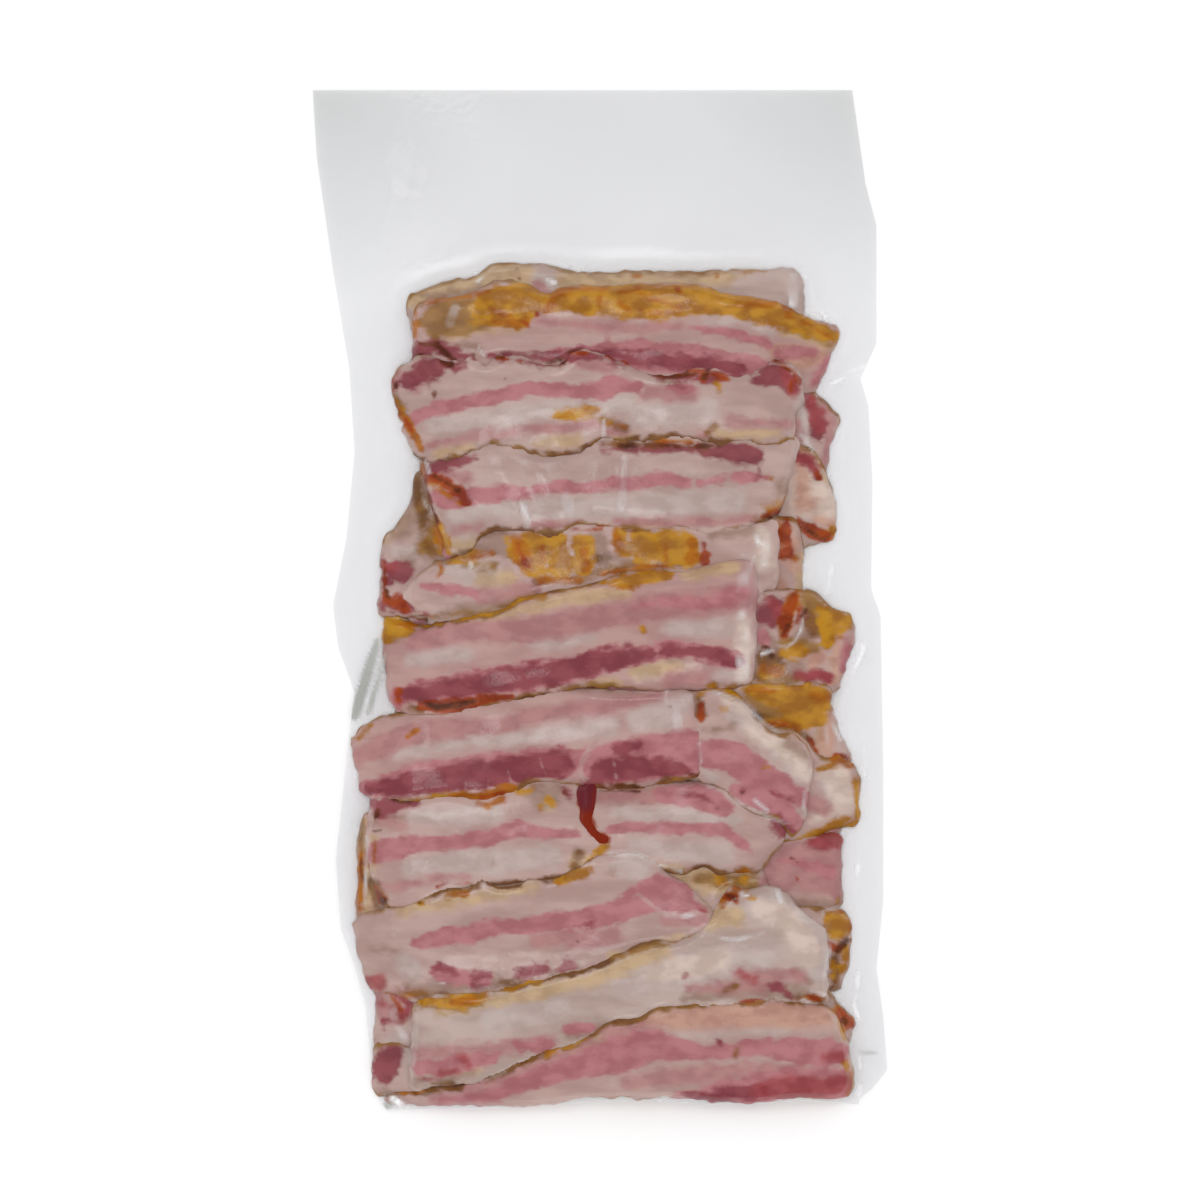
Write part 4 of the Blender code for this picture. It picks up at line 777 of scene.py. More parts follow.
         brown=[((-66, -181.8, 0.8), (-58, -180.6, 1.4), (-53, -179.4, 1.4)),
                ((-43, -175.8, 0.8), (-36, -173.4, 1.2), (-29, -171, 1.4), (-23, -168.4, 0.8)),
                ((50.6, -166.6, 0.8), (50.4, -168.6, 0.8))],
         gold=[((-19, -167, 0.8), (-12, -164.4, 1.4), (-6, -162, 0.8)),
               ((91, -172, 1), (93.4, -178, 1.2), (92.6, -183, 1)), ((87.6, -152, 0.9), (90, -162, 0.9))],
         amber=[((-74, -182.6, 0.2), (-66, -181.6, 0.4)), ((-20, -166.8, 0), (-10, -163.8, 0.2)),
                ((53, -148.9, 0.4), (60, -148.6, 0.4))],
         red=[((83, -169.4, 1), (89.4, -169.2, 2.4)),
              ((60, -181, 3.2), (70, -180.4, 4.6), (80, -180.6, 4.2), (91, -180.2, 3.2))],
         char=[((-62, -180.6, 0.2), (-54, -179.6, 0.8), (-50, -178.6, 0.6)),
               ((-30, -170.8, 0.4), (-27.6, -170.2, 0.4)), ((7.6, -178, -0.3),),
               ((4, -156.4, 0), (12, -155.2, 0))]),
]

# Juice that ran down between two rows: its right side and its left side, from the top.
DRIP = dict(name="juice_drip", bulge=0, ragged=0.3,
            upper=((-1, -67), (-1.4, -72), (-2, -77), (-3, -82), (-0.5, -86), (3, -87.6), (3.8, -89.6)),
            lower=((-8.8, -68.6), (-8.6, -73), (-7.4, -78), (-7.6, -81), (-5, -85), (-1.6, -89),
                   (-0.4, -90.8)),
            deep=[((-5, -69, 4), (-5, -76, 2.6))])

# The layer that the pack lies on: one slice a row, each tucked under the next.
FIRST_ROW_Y = -167.0
BOTTOM_PITCH = 30.0
BOTTOM_WIDTH = 37.0
BOTTOM_HEAD = 115          # the contents end here towards the mouth
BOTTOM_FOOT = -184.5       # and here towards the foot
BOTTOM_TILT = 3            # most that a slice leans, at each end
BOTTOM_SEED = 40           # of the first slice's lean bands
SIDE_SEED = 60             # and of the first one above the layer
BOTTOM_ENDS = ((-64, 86), (-70, 80), (-86, 84), (-84, 88), (-74, 80), (-74, 82), (-70, 60), (-52, 66),
               (-62, 70), (-60, 66))


# ---------------------------------------------------------------------------------------------
# Plans: arrays over the pack's outline, one value for each cell
# ---------------------------------------------------------------------------------------------
PLAN_X, PLAN_Y = np.meshgrid(np.arange(-114, 114.1, CELL), np.arange(-196, 196.1, CELL))
FAR_OUTSIDE = -60.0        # depth where there is no streak


def read(plan, x, y):
    """A plan's value at any places, between its cells."""
    column = np.clip((x - PLAN_X[0, 0]) / CELL, 0, plan.shape[1] - 1.001)
    row = np.clip((y - PLAN_Y[0, 0]) / CELL, 0, plan.shape[0] - 1.001)
    c, r = column.astype(int), row.astype(int)
    across, up = column - c, row - r
    near = plan[r, c] * (1 - across) + plan[r, c + 1] * across
    far = plan[r + 1, c] * (1 - across) + plan[r + 1, c + 1] * across
    return near * (1 - up) + far * up


def sweep(plan, reach, join):
    """Join each cell with its neighbours up to reach away, along one axis and then the other."""
    cells = max(1, round(reach / CELL))
    for axis in (0, 1):
        border = [(0, 0), (0, 0)]
        border[axis] = (cells, cells)
        wide = np.pad(plan, border, mode="edge")
        length = plan.shape[axis]
        shifted = [np.take(wide, range(start, start + length), axis) for start in range(2 * cells + 1)]
        plan = join(shifted)
    return plan


def blur(plan, reach):
    """The mean of each cell's neighbourhood."""
    return sweep(plan, reach, lambda shifted: sum(shifted) / len(shifted))


def highest(plan, reach):
    """The highest value in each cell's neighbourhood."""
    return sweep(plan, reach, lambda shifted: np.maximum.reduce(shifted))


def unevenness(reach, seed):
    """A smooth random plan with lumps of about the given size, mostly between -2 and 2."""
    lumps = np.random.default_rng(seed).standard_normal(PLAN_X.shape)
    lumps = blur(blur(lumps, reach), reach)
    return lumps / lumps.std()


def within(polygon, x, y):
    """Which places lie inside a closed outline."""
    inside = np.zeros(x.shape, bool)
    for (x0, y0), (x1, y1) in zip(polygon, np.roll(polygon, -1, axis=0)):
        if y0 != y1:
            crossing = (y0 > y) != (y1 > y)
            inside ^= crossing & (x < (x1 - x0) * (y - y0) / (y1 - y0) + x0)
    return inside


def along_curve(points, shares):
    """Places on a smooth curve through the points, at shares of its length."""
    points = np.array(points, float)
    lengths = np.hypot(*np.diff(points, axis=0).T)
    knots = np.concatenate(([0], np.cumsum(lengths))) / lengths.sum()
    slopes = np.gradient(points, knots, axis=0)
    place = np.clip(np.searchsorted(knots, shares, side="right") - 1, 0, len(points) - 2)
    span = (knots[place + 1] - knots[place])[..., None]
    t = (shares - knots[place])[..., None] / span
    return ((2 * t**3 - 3 * t**2 + 1) * points[place] + (t**3 - 2 * t**2 + t) * span * slopes[place]
            + (3 * t**2 - 2 * t**3) * points[place + 1] + (t**3 - t**2) * span * slopes[place + 1])


def depth_in_streak(x, y, streak):
    """How far inside a streak each place is, negative outside it."""
    depth = np.full(x.shape, FAR_OUTSIDE)
    ends = streak[1:] or streak
    for (x0, y0, half0), (x1, y1, half1) in zip(streak, ends):
        run_x, run_y = x1 - x0 + 1e-6, y1 - y0
        share = np.clip(((x - x0) * run_x + (y - y0) * run_y) / (run_x**2 + run_y**2), 0, 1)
        gap = np.hypot(x - x0 - share * run_x, y - y0 - share * run_y)
        depth = np.maximum(depth, half0 + (half1 - half0) * share - gap)
    return depth


# What keeps the drawn shapes from looking drawn: shifts of the streaks, the relief of a cut face,
# breaks in the milky creases, and ragged edges. The second number of each is its fixed seed.
WARP_X = unevenness(3, 11) * 0.5
WARP_Y = unevenness(3, 12) * 0.3
RELIEF = unevenness(4, 13) * 0.16 + unevenness(1.6, 14) * 0.05
PATCHES = unevenness(1.6, 17)
RAGGED = unevenness(1.2, 15) * 0.28 + unevenness(3.0, 16) * 0.3


# ---------------------------------------------------------------------------------------------
# Meshes
# ---------------------------------------------------------------------------------------------
def sheet_faces(rows, columns, first=0, turned=False):
    """Quads between the points of a grid."""
    corner = first + np.arange(rows * columns).reshape(rows, columns)
    quads = np.stack((corner[:-1, :-1], corner[:-1, 1:], corner[1:, 1:], corner[1:, :-1]), -1)
    quads = quads.reshape(-1, 4)
    return quads[:, ::-1] if turned else quads


def rim_faces(rows, columns):
    """Quads that close the rim between an upper grid and a lower one that follows it."""
    corner = np.arange(rows * columns).reshape(rows, columns)
    rim = np.concatenate((corner[0, :-1], corner[:-1, -1], corner[-1, :0:-1], corner[:0:-1, 0]))
    after = np.roll(rim, -1)
    return np.stack((rim, rim + rows * columns, after + rows * columns, after), -1)


def mesh_object(name, points, quads, marks, material):
    """A mesh from points in millimetres, with one number a point for each mark."""
    mesh = bpy.data.meshes.new(name)
    mesh.from_pydata((points * MM).tolist(), [], quads.tolist())
    for mark, values in marks.items():
        data = mesh.attributes.new(mark, "FLOAT", "POINT").data
        data.foreach_set("value", values.astype(np.float32))
    if material:
        mesh.materials.append(material)
    mesh.shade_smooth()
    mesh.set_sharp_from_angle(angle=math.radians(60))
    piece = bpy.data.objects.new(name, mesh)
    bpy.context.scene.collection.objects.link(piece)
    return piece


# ---------------------------------------------------------------------------------------------
# Laying the slices
# ---------------------------------------------------------------------------------------------
def slice_plan(spec, rows, columns):
    """Places of a slice's grid points, and how far each is from its upper and its lower edge."""
    u = np.linspace(0, 1, columns)[None, :].repeat(rows, 0)
    v = np.linspace(0, 1, rows)[:, None].repeat(columns, 1)
    upper = along_curve(spec["upper"], u[0])
    lower = along_curve(spec["lower"], u[0])
    length = np.hypot(*(upper[-1] - upper[0]))
    width = np.hypot(*(upper - lower).T)
    end = np.minimum(u[0], 1 - u[0]) * length
    turn = np.clip(1 - end / END_CORNER, 0, 1)
    pinch = 1 - 2 * np.minimum(END_CORNER / width, 0.3) * (1 - np.sqrt(1 - turn**2)) * 0.8
    share = 0.5 + (v - 0.5) * pinch
    place = lower[None] * (1 - share[..., None]) + upper[None] * share[..., None]
    x, y = place[..., 0], place[..., 1]
    swell = spec.get("bulge", 1.5) * (1 - (2 * share - 1) ** 2)
    reach = length / END_SWELL
    x = x + swell * (np.clip(u * reach - reach + 1, 0, 1) - np.clip(1 - u * reach, 0, 1))
    ragged = spec.get("ragged", 1) * read(RAGGED, x, y)
    y = y + ragged * (2 * v - 1) * np.abs(2 * v - 1) ** 6
    x = x + ragged * np.sign(u - 0.5) * np.abs(2 * u - 1) ** 20
    return x, y, u, (1 - v) * width, v * width


def lay(spec, pile, step, thickness, material):
    """Lay a slice on the pile and return the piece and the new pile."""
    edge = np.array(spec["upper"], float)
    other = np.array(spec["lower"], float)
    length = np.hypot(*np.diff(edge, axis=0).T).sum()
    rows = max(8, round(abs(edge[:, 1].mean() - other[:, 1].mean()) / step))
    columns = round(length / step)
    x, y, u, to_upper, to_lower = slice_plan(spec, rows, columns)
    outline = np.stack((np.concatenate((x[0], x[:, -1], x[-1, ::-1], x[::-1, 0])),
                        np.concatenate((y[0], y[:, -1], y[-1, ::-1], y[::-1, 0]))), -1)
    outline = outline[np.r_[True, np.hypot(*np.diff(outline, axis=0).T) > 1e-6]]

    covered = within(outline, PLAN_X, PLAN_Y)
    mask = covered.astype(float)
    under = pile * mask
    bed = blur(highest(under, TOUCH), TOUCH) + SLICE_GAP
    level = blur(under, BEND) / np.maximum(blur(mask, BEND), 1e-3)
    depth = np.clip(2 * blur(mask, ROUNDING) - 1, 0, 1)
    profile = RIM_SHARE + (1 - RIM_SHARE) * np.sin(depth * math.pi / 2)
    top = np.maximum(level + thickness * profile + RELIEF * depth, bed + SQUEEZED_THICKNESS * profile)
    pile = np.where(covered, np.maximum(pile, top), pile)

    warped_x = x + read(WARP_X, x, y)
    warped_y = y + read(WARP_Y, x, y)
    marks = {}
    for kind in STREAKS:
        depths = [depth_in_streak(warped_x, warped_y, streak) for streak in spec.get(kind, ())]
        marks[kind] = np.maximum.reduce(depths) if depths else np.full(x.shape, FAR_OUTSIDE)
    crust = spec.get("crust", ((0.2,), (0.2,)))
    browned = [np.interp(u, np.linspace(0, 1, len(steps)), steps) for steps in crust]
    marks["crust"] = np.where(to_upper < to_lower, *browned)
    marks["crust_gap"] = np.minimum(to_upper, to_lower)
    marks["tone"] = np.full(x.shape, spec.get("tone", 0.4))

    z_top = read(top, x, y)
    z_bed = read(bed, x, y)
    points = np.concatenate((np.stack((x, y, z_top), -1).reshape(-1, 3),
                             np.stack((x, y, z_bed), -1).reshape(-1, 3)))
    quads = np.concatenate((sheet_faces(rows, columns), sheet_faces(rows, columns, rows * columns, True),
                            rim_faces(rows, columns)))
    doubled = {mark: np.tile(values.ravel(), 2) for mark, values in marks.items()}
    return mesh_object(spec["name"], points, quads, doubled, material), pile


def plain_slice(name, spec, seed):
    """Fill in the streaks of a slice that shows little: two lean bands and a browned edge."""
    random = np.random.default_rng(seed)
    upper, lower = np.array(spec["upper"], float), np.array(spec["lower"], float)
    shares = np.linspace(0, 1, 6)
    top, foot = along_curve(upper, shares), along_curve(lower, shares)
    bands = []
    for height in (random.uniform(0.2, 0.32), random.uniform(0.55, 0.75)):
        middle = foot + (top - foot) * (height + random.uniform(-0.05, 0.05, 6))[:, None]
        bands.append([(x, y, random.uniform(1, 5)) for x, y in middle])
    filled = dict(name=name, crust=((0.5, 0.2, 0.6), (0.3,)))
    if not set(spec) & set(STREAKS):
        filled["lean"] = bands
    filled.update(spec)
    return filled


def bottom_slices():
    """The slices that the pack lies on, from the foot up."""
    for row, (left, right) in enumerate(BOTTOM_ENDS):
        y = FIRST_ROW_Y + row * BOTTOM_PITCH
        tilt = BOTTOM_TILT * math.sin(2.3 * row)
        head = min(y + BOTTOM_WIDTH / 2, BOTTOM_HEAD)
        foot = max(y - BOTTOM_WIDTH / 2, BOTTOM_FOOT)
        upper = ((left, head - tilt), (0, head + 1), (right, head + tilt))
        lower = ((left, max(foot - tilt, BOTTOM_FOOT)), (0, foot + 1),
                 (right, max(foot + tilt, BOTTOM_FOOT)))
        yield plain_slice(f"base_{row}", dict(upper=upper, lower=lower), BOTTOM_SEED + row)


def lay_all(material):
    """Lay every slice, lowest first, and return the pieces and the pile's height."""
    pile = np.full(PLAN_X.shape, TABLE_GAP)
    pieces = []
    hidden = list(bottom_slices())
    for place, spec in enumerate(SIDE_SLICES + CENTRE_SLICES):
        hidden.append(plain_slice(spec["name"], spec, SIDE_SEED + place))
    for spec in hidden:
        step = END_STEP if spec["name"].startswith("end") else HIDDEN_STEP
        piece, pile = lay(spec, pile, step, HIDDEN_THICKNESS, material)
        pieces.append(piece)
    for spec in TOP_SLICES:
        piece, pile = lay(spec, pile, VISIBLE_STEP, SLICE_THICKNESS, material)
        pieces.append(piece)
    return pieces, pile


# ---------------------------------------------------------------------------------------------
# Nodes
# ---------------------------------------------------------------------------------------------
def add(tree, kind, inputs=None, **settings):
    """Add a node with its settings, and give its inputs values or links."""
    node = tree.nodes.new(kind)
    for setting, value in settings.items():
        setattr(node, setting, value)
    for socket, value in (inputs or {}).items():
        if isinstance(value, bpy.types.NodeSocket):
            tree.links.new(value, node.inputs[socket])
        else:
            node.inputs[socket].default_value = value
    return node


def linear(code, alpha=1.0):
    """A linear colour from an sRGB hex code."""
    values = [int(code[place:place + 2], 16) / 255 for place in (0, 2, 4)]
    return tuple(v / 12.92 if v <= 0.04045 else ((v + 0.055) / 1.055) ** 2.4 for v in values) + (alpha,)


def new_material(name):
    """A material with no nodes, and its tree."""
    material = bpy.data.materials.new(name)
    material.use_nodes = True
    material.node_tree.nodes.clear()
    return material, material.node_tree


# ---------------------------------------------------------------------------------------------
# Materials
# ---------------------------------------------------------------------------------------------
def purge_material():
    """Juice that bled from the meat and dried: dark red where thick, orange where thin."""
    material, tree = new_material("cured meat juice, dried")
    thick = add(tree, "ShaderNodeAttribute", attribute_name="deep").outputs["Fac"]
    share = add(tree, "ShaderNodeMapRange", {"Value": thick, 1: -1.5, 2: 1.5}).outputs[0]
    colour = add(tree, "ShaderNodeMix", {"Factor": share, 6: linear("842204"), 7: linear("6c2029")},
                 data_type="RGBA").outputs[2]
    surface = add(tree, "ShaderNodeBsdfPrincipled", {"Base Color": colour, "Roughness": 0.25, "IOR": 1.36})
    add(tree, "ShaderNodeOutputMaterial", {"Surface": surface.outputs[0]})
    return material


def bacon_material():
    """Cured and smoked pork belly, cut cold: waxy off-white fat and moist pink lean with soft edges."""
    material, tree = new_material("cured pork belly, knife cut")
    place = add(tree, "ShaderNodeTexCoord").outputs["Object"]
    mark = {name: add(tree, "ShaderNodeAttribute", attribute_name=name).outputs["Fac"]
            for name in STREAKS + ("crust_gap", "crust", "tone")}

    def noise(scale_mm, detail=3, stretch=(1, 1, 1)):
        mapped = add(tree, "ShaderNodeMapping", {"Vector": place, "Scale": stretch}).outputs[0]
        return add(tree, "ShaderNodeTexNoise", {"Vector": mapped, "Scale": 1 / (scale_mm * MM),
                                                "Detail": detail}).outputs["Fac"]

    def within_range(value, low, high, to_low=0.0, to_high=1.0):
        return add(tree, "ShaderNodeMapRange", {"Value": value, 1: low, 2: high, 3: to_low, 4: to_high},
                   interpolation_type="SMOOTHSTEP").outputs[0]

    def maths(operation, first, second):
        return add(tree, "ShaderNodeMath", {0: first, 1: second}, operation=operation).outputs[0]

    def mixed(share, first, second):
        return add(tree, "ShaderNodeMix", {"Factor": share, 6: first, 7: second},
                   data_type="RGBA").outputs[2]

    fray = maths("MULTIPLY", maths("SUBTRACT", noise(4, 6, (0.7, 1.2, 1)), 0.5), 8.0)
    grain = within_range(noise(7, 4, (0.8, 1.2, 1)), 0.36, 0.64)
    cloud = within_range(noise(11, 4, (0.4, 1.3, 1)), 0.36, 0.64)

    pale_fat = mixed(cloud, linear("b29b91"), linear("c4aea5"))
    pink_fat = mixed(cloud, linear("b28a85"), linear("c09b94"))
    colour = mixed(mark["tone"], pale_fat, pink_fat)
    patchy = within_range(noise(9, 3), 0.35, 0.62, 0.45, 1.35)
    reach = maths("MULTIPLY", maths("MULTIPLY", mark["crust"], 2.5), patchy)
    depth = maths("ADD", maths("SUBTRACT", reach, mark["crust_gap"]), maths("MULTIPLY", fray, 0.4))
    browned = within_range(depth, -0.8, 1.1, 0, 0.92)
    browned = maths("MULTIPLY", browned, within_range(mark["crust"], 0.03, 0.35))
    smoke = within_range(maths("ADD", mark["crust"], noise(6, 3)), 0.9, 1.5)
    # Painted light in the colour: the paints for fat and rind in shade are painted shade, the cream one and
    # some white streaks painted highlights, and some deep, brown and char streaks painted shade.
    for kind, dark, light, outside, inside, ragged, cover in PAINTS:
        if kind == FIRST_RIND_PAINT:
            colour = mixed(browned, colour, mixed(smoke, linear("94682a"), linear("70421a")))
        depth = maths("ADD", mark[kind], maths("MULTIPLY", fray, ragged))
        share = within_range(depth, -outside, inside, 0, cover)
        colour = mixed(share, colour, mixed(grain, linear(dark), linear(light)))

    bump = add(tree, "ShaderNodeBump", {"Height": noise(1.1, 4), "Distance": 0.00025, "Strength": 0.5})
    surface = add(tree, "ShaderNodeBsdfPrincipled", {
        "Base Color": colour, "Normal": bump.outputs[0],
        "Roughness": 0.45, "IOR": 1.38, "Specular IOR Level": 0.35,
        "Subsurface Weight": 0.15, "Subsurface Radius": (1.0, 0.35, 0.25), "Subsurface Scale": 0.0015})
    add(tree, "ShaderNodeOutputMaterial", {"Surface": surface.outputs[0]})
    return material


def film_material():
    """Nylon and polyethylene pouch film: clear where it touches, milky where creased; much of its milk is
    painted light.
    """
    material, tree = new_material("vacuum pouch film, cast laminate")
    place = add(tree, "ShaderNodeTexCoord").outputs["Object"]
    milk = add(tree, "ShaderNodeAttribute", attribute_name="milk").outputs["Fac"]

    def noise(scale_mm):
        return add(tree, "ShaderNodeTexNoise", {"Vector": place, "Scale": 1 / (scale_mm * MM),
                                                "Detail": 3}).outputs["Fac"]

    fine = noise(2.2)
    broad = noise(18)
    uneven = add(tree, "ShaderNodeMapRange", {"Value": broad, 1: 0.3, 2: 0.7, 3: 0.7, 4: 1.3}).outputs[0]
    haze_and_painted_light = add(tree, "ShaderNodeMath", {0: milk, 1: uneven},
               operation="MULTIPLY", use_clamp=True).outputs[0]
    bump = add(tree, "ShaderNodeBump", {"Height": fine, "Distance": 0.0002, "Strength": 0.5}).outputs[0]
    clear = add(tree, "ShaderNodeBsdfTransparent", {"Color": (0.955, 0.956, 0.962, 1)})
    gloss = add(tree, "ShaderNodeBsdfGlossy", {"Color": (1, 1, 1, 1), "Roughness": 0.16, "Normal": bump})
    slant = add(tree, "ShaderNodeLayerWeight", {"Blend": 0.5, "Normal": bump}).outputs["Facing"]
    grazing = add(tree, "ShaderNodeMath", {0: slant, 1: 5.0}, operation="POWER").outputs[0]
    shine = add(tree, "ShaderNodeMath", {0: grazing, 1: EDGE_SHINE, 2: FILM_SHINE},
                operation="MULTIPLY_ADD").outputs[0]
    sheet = add(tree, "ShaderNodeMixShader", {0: shine, 1: clear.outputs[0], 2: gloss.outputs[0]})
    # The milky white is partly real milkiness and partly painted: highlights on creases, light next to the
    # contents.
    white = add(tree, "ShaderNodeBsdfDiffuse", {"Color": linear("fafafc")})
    surface = add(tree, "ShaderNodeMixShader", {0: haze_and_painted_light, 1: sheet.outputs[0], 2: white.outputs[0]})

    # Painted shade: grey diffuse over the folds, and a light grey over the empty mouth.
    folded = add(tree, "ShaderNodeAttribute", attribute_name="folded").outputs["Fac"]
    shaded = add(tree, "ShaderNodeMath", {0: folded, 1: FOLD_COVER}, operation="MULTIPLY").outputs[0]
    grey = add(tree, "ShaderNodeBsdfDiffuse", {"Color": linear("a9aaa4")})
    surface = add(tree, "ShaderNodeMixShader", {0: shaded, 1: surface.outputs[0], 2: grey.outputs[0]})
    add(tree, "ShaderNodeOutputMaterial", {"Surface": surface.outputs[0]})
    return material


# ---------------------------------------------------------------------------------------------
# The films
# ---------------------------------------------------------------------------------------------
def pouch_grid(step):
    """Places of a film's points in the flat pouch, and how many rows and columns there are."""
    columns, rows = round((HIGH[0] - LOW[0]) / step), round((HIGH[1] - LOW[1]) / step)
    v, u = np.meshgrid(np.linspace(0, 1, rows), np.linspace(0, 1, columns), indexing="ij")
    left, right = np.array(LEFT_SIDE[::-1], float), np.array(RIGHT_SIDE[::-1], float)
    foot = np.array(FOOT, float)
    y = LOW[1] + (HIGH[1] - LOW[1]) * v
    x = np.interp(y, left[:, 1], left[:, 0]) * (1 - u) + np.interp(y, right[:, 1], right[:, 0]) * u
    y = y + (np.interp(x, foot[:, 0], foot[:, 1]) - LOW[1]) * (1 - v) ** 3
    return x, y, rows, columns


def drape_tree():
    """Geometry nodes that draw a flat sheet onto the contents from one side, like shrinking film."""
    tree = bpy.data.node_groups.new("draw film onto contents", "GeometryNodeTree")
    face = tree.interface
    face.new_socket("Geometry", in_out="INPUT", socket_type="NodeSocketGeometry")
    face.new_socket("Contents", in_out="INPUT", socket_type="NodeSocketObject")
    face.new_socket("Side", in_out="INPUT", socket_type="NodeSocketFloat")
    face.new_socket("Slack", in_out="INPUT", socket_type="NodeSocketInt")
    face.new_socket("Clearance", in_out="INPUT", socket_type="NodeSocketFloat")
    face.new_socket("Film", in_out="INPUT", socket_type="NodeSocketMaterial")
    face.new_socket("Geometry", in_out="OUTPUT", socket_type="NodeSocketGeometry")
    given = add(tree, "NodeGroupInput").outputs
    side = given["Side"]

    def maths(operation, first, second):
        return add(tree, "ShaderNodeMath", {0: first, 1: second}, operation=operation).outputs[0]

    def named(name):
        return add(tree, "GeometryNodeInputNamedAttribute", {"Name": name}, data_type="FLOAT").outputs[0]

    def stored(body, name, value):
        return add(tree, "GeometryNodeStoreNamedAttribute",
                   {"Geometry": body, "Name": name, "Value": value},
                   data_type="FLOAT", domain="POINT").outputs[0]

    # A ray from well outside finds the contents, and the film rests on them or on its margin.
    position = add(tree, "GeometryNodeInputPosition").outputs[0]
    place = add(tree, "ShaderNodeSeparateXYZ", {0: position}).outputs
    outside = maths("MULTIPLY", side, RAY_START)
    start = add(tree, "ShaderNodeCombineXYZ", {0: place[0], 1: place[1], 2: outside})
    towards = add(tree, "ShaderNodeCombineXYZ", {2: maths("MULTIPLY", side, -1.0)})
    contents = add(tree, "GeometryNodeObjectInfo", {"Object": given["Contents"]}).outputs["Geometry"]
    ray = add(tree, "GeometryNodeRaycast", {
        "Target Geometry": contents, "Source Position": start.outputs[0],
        "Ray Direction": towards.outputs[0], "Ray Length": 1.0})
    struck = add(tree, "ShaderNodeSeparateXYZ", {0: ray.outputs["Hit Position"]}).outputs[2]
    met = add(tree, "GeometryNodeSwitch", {"Switch": ray.outputs["Is Hit"], "False": -1.0,
                                          "True": maths("MULTIPLY", struck, side)}, input_type="FLOAT")
    margin = maths("MULTIPLY", named("margin"), side)
    body = stored(given["Geometry"], "rest", maths("MAXIMUM", met.outputs[0], margin))
    body = stored(body, "height", named("rest"))

    # The film is smoothed round by round, and never sinks under what it rests on.
    opening = tree.nodes.new("GeometryNodeRepeatInput")
    closing = tree.nodes.new("GeometryNodeRepeatOutput")
    opening.pair_with_output(closing)
    tree.links.new(given["Slack"], opening.inputs["Iterations"])
    tree.links.new(body, opening.inputs["Geometry"])
    slackened = add(tree, "GeometryNodeBlurAttribute", {0: named("height"), "Iterations": 1},
                    data_type="FLOAT").outputs[0]
    held = maths("MAXIMUM", slackened, named("rest"))
    tree.links.new(stored(opening.outputs["Geometry"], "height", held), closing.inputs["Geometry"])

    # Clearance and creases come last, and the lower film stays above the table.
    body = closing.outputs["Geometry"]
    final = maths("ADD", maths("ADD", named("height"), given["Clearance"]), named("crease"))
    lowest = maths("MAXIMUM", maths("MULTIPLY", final, side), LOWEST_FILM * MM)
    moved = add(tree, "ShaderNodeCombineXYZ", {0: place[0], 1: place[1], 2: lowest})
    body = add(tree, "GeometryNodeSetPosition", {"Geometry": body, "Position": moved.outputs[0]}).outputs[0]
    body = add(tree, "GeometryNodeRealizeInstances", {"Geometry": body}).outputs[0]
    body = add(tree, "GeometryNodeSetMaterial", {"Geometry": body, "Material": given["Film"]}).outputs[0]
    add(tree, "NodeGroupOutput", {"Geometry": body})
    return tree


def grown(base, tree, **values):
    """The plain mesh that a tree makes from a base object, in a new object of the same name."""
    modifier = base.modifiers.new("grow", "NODES")
    modifier.node_group = tree
    for item in tree.interface.items_tree:
        if item.in_out == "INPUT" and item.name in values:
            modifier[item.identifier] = values[item.name]
    bpy.context.view_layer.update()
    seen = base.evaluated_get(bpy.context.evaluated_depsgraph_get())
    mesh = bpy.data.meshes.new_from_object(seen)
    name = base.name
    bpy.data.objects.remove(base, do_unlink=True)
    mesh.name = name
    piece = bpy.data.objects.new(name, mesh)
    bpy.context.scene.collection.objects.link(piece)
    return piece


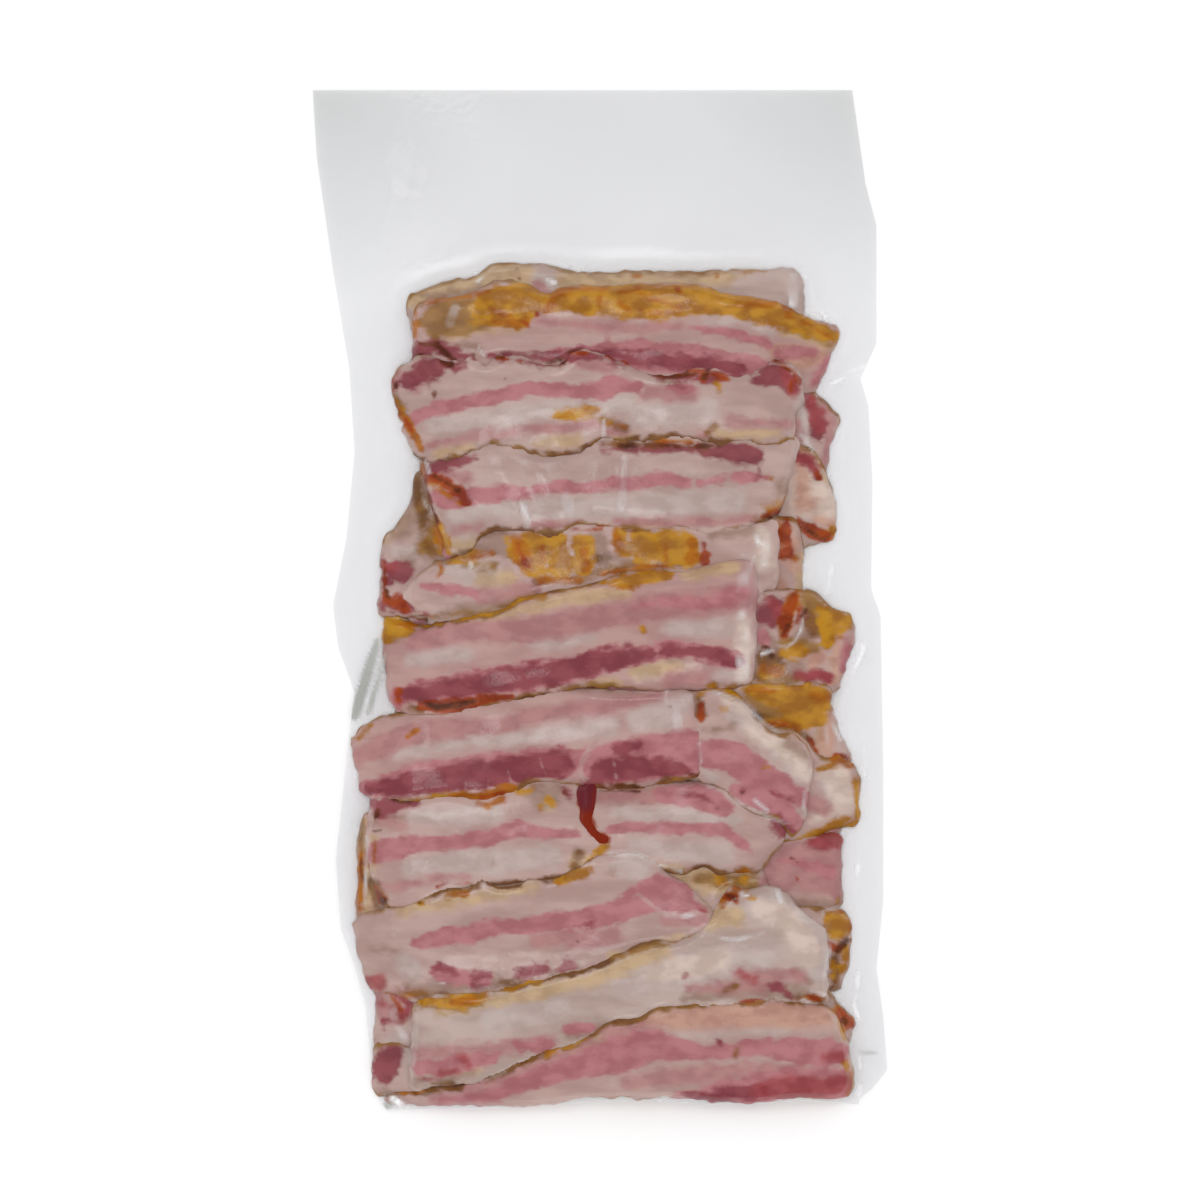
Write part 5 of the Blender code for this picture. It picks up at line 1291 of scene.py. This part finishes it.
def film(name, step, side, pieces, pile, tree, material):
    """One sheet of the pouch, drawn onto the pile from above (side 1) or from below (side -1)."""
    x, y, rows, columns = pouch_grid(step)
    filled = (pile > TABLE_GAP + 0.1).astype(float)
    nearness = filled      # 1 over the contents, falling to 0 over the sum of these reaches
    for reach in (4, 6, 8):
        nearness = np.maximum(nearness, blur(nearness, reach))
    ripple = np.sin(PLAN_X / 13 + 2 * np.sin(PLAN_Y / 31)) * np.sin(PLAN_Y / 21 + 1)
    margin = MARGIN_AT_EDGE + (MARGIN_AT_CONTENTS - MARGIN_AT_EDGE) * nearness**2
    margin = margin + MARGIN_WAVE * (0.6 + 0.4 * ripple) * (1 - nearness)
    # Painted light: milky white on the margin next to the contents, where the pile would shade it.
    milk = MARGIN_MILK_AND_LIGHT * read(nearness * (1 - filled), x, y)
    crease = np.zeros(x.shape)
    patchy = np.clip(0.6 + 0.45 * read(PATCHES, x, y), 0.1, 1.2)
    # Most creases are painted highlights: milky white where the film catches light, over a small real
    # ridge.
    for cloudy, *places in CREASES:
        fade = max(1.2, 0.8 * places[0][2])
        share = np.clip((depth_in_streak(x, y, places) + 0.6 * fade) / fade, 0, 1)
        share = share**2 * (3 - 2 * share)
        milk = np.maximum(milk, cloudy * share * patchy)
        crease = np.maximum(crease, CREASE_HEIGHT * share * (places[0][2] < NARROW))
    folded = MOUTH_GREY * np.clip((y - MOUTH_START) / MOUTH_FADE, 0, 1) * (1 + (x / 100) ** 2)
    for places in FOLDS:
        folded = np.maximum(folded, np.clip((depth_in_streak(x, y, places) + 0.7) / 1.2, 0, 1))
    marks = {"margin": read(margin, x, y).ravel() * MM, "crease": crease.ravel() * MM,
             "milk": milk.ravel(), "folded": folded.ravel()}
    flat = mesh_object(name, np.stack((x, y, 0 * x), -1).reshape(-1, 3),
                       sheet_faces(rows, columns, turned=side < 0), marks, None)
    contents = join_copies(pieces)
    sheet = grown(flat, tree, Contents=contents, Side=float(side), Slack=FILM_SLACK,
                  Clearance=FILM_CLEARANCE * MM, Film=material)
    bpy.data.objects.remove(contents, do_unlink=True)
    sheet.data.shade_smooth()
    return sheet


def join_copies(pieces):
    """All pieces as one mesh, for the film to be drawn onto."""
    points, quads, count = [], [], 0
    for piece in pieces:
        mesh = piece.data
        place = np.empty(len(mesh.vertices) * 3, np.float32)
        mesh.vertices.foreach_get("co", place)
        corner = np.empty(len(mesh.loops), np.int32)
        mesh.loops.foreach_get("vertex_index", corner)
        points.append(place.reshape(-1, 3) / MM)
        quads.append(corner.reshape(-1, 4) + count)
        count += len(mesh.vertices)
    return mesh_object("contents", np.concatenate(points), np.concatenate(quads), {}, None)


# ---------------------------------------------------------------------------------------------
# Floor, light and camera
# ---------------------------------------------------------------------------------------------
def make_stage():
    """A wide white board under the pack."""
    bpy.ops.mesh.primitive_plane_add(size=6, location=(0, 0, 0))
    floor = bpy.context.object
    floor.name = "floor"
    material, tree = new_material("matt white board")
    surface = add(tree, "ShaderNodeBsdfPrincipled", {"Base Color": linear("fafafa"), "Roughness": 0.9})
    add(tree, "ShaderNodeOutputMaterial", {"Surface": surface.outputs[0]})
    floor.data.materials.append(material)


def make_light(name, place, size, power):
    """A square soft box that faces the middle of the pack."""
    lamp = bpy.data.lights.new(name, "AREA")
    lamp.shape = "SQUARE"
    lamp.size = size
    lamp.energy = power
    item = bpy.data.objects.new(name, lamp)
    item.location = place
    item.rotation_euler = (-Vector(place)).to_track_quat("-Z", "Y").to_euler()
    bpy.context.scene.collection.objects.link(item)


def make_camera():
    """Straight above the pack, far enough away that its height hardly shows."""
    camera = bpy.data.cameras.new("camera")
    camera.lens = 500
    camera.sensor_width = 36
    view_width = 0.445
    item = bpy.data.objects.new("camera", camera)
    item.location = (0, 0, view_width * camera.lens / camera.sensor_width)
    bpy.context.scene.collection.objects.link(item)
    bpy.context.scene.camera = item


def make_world():
    """Even white light from all round, which the shiny film doesn't mirror."""
    world = bpy.data.worlds.new("studio")
    world.use_nodes = True
    world.node_tree.nodes["Background"].inputs["Color"].default_value = (1, 1, 1, 1)
    world.node_tree.nodes["Background"].inputs["Strength"].default_value = 1.04
    world.cycles_visibility.glossy = False
    bpy.context.scene.world = world
    bpy.context.scene.view_settings.view_transform = "Standard"


def main():
    """Lay the slices, draw the films over them and set up the view."""
    bacon = bacon_material()
    clear = film_material()
    slices, pile = lay_all(bacon)
    drip, pile = lay(DRIP, pile, VISIBLE_STEP, DRIP_THICKNESS, purge_material())
    tree = drape_tree()
    front = film("film_front", FILM_STEP, 1, slices + [drip], pile, tree, clear)
    back = film("film_back", BACK_FILM_STEP, -1, slices, pile, tree, clear)
    for piece in slices + [drip]:
        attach(piece, "root")
    for piece in (front, back):
        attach(piece, "root")
    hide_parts("sealed_pouch")
    make_stage()
    make_light("key", (-0.2, 0.6, 1.9), 0.5, 2.6)
    make_light("fill", (-0.8, -0.5, 1.5), 0.8, 1)
    make_camera()
    make_world()


main()
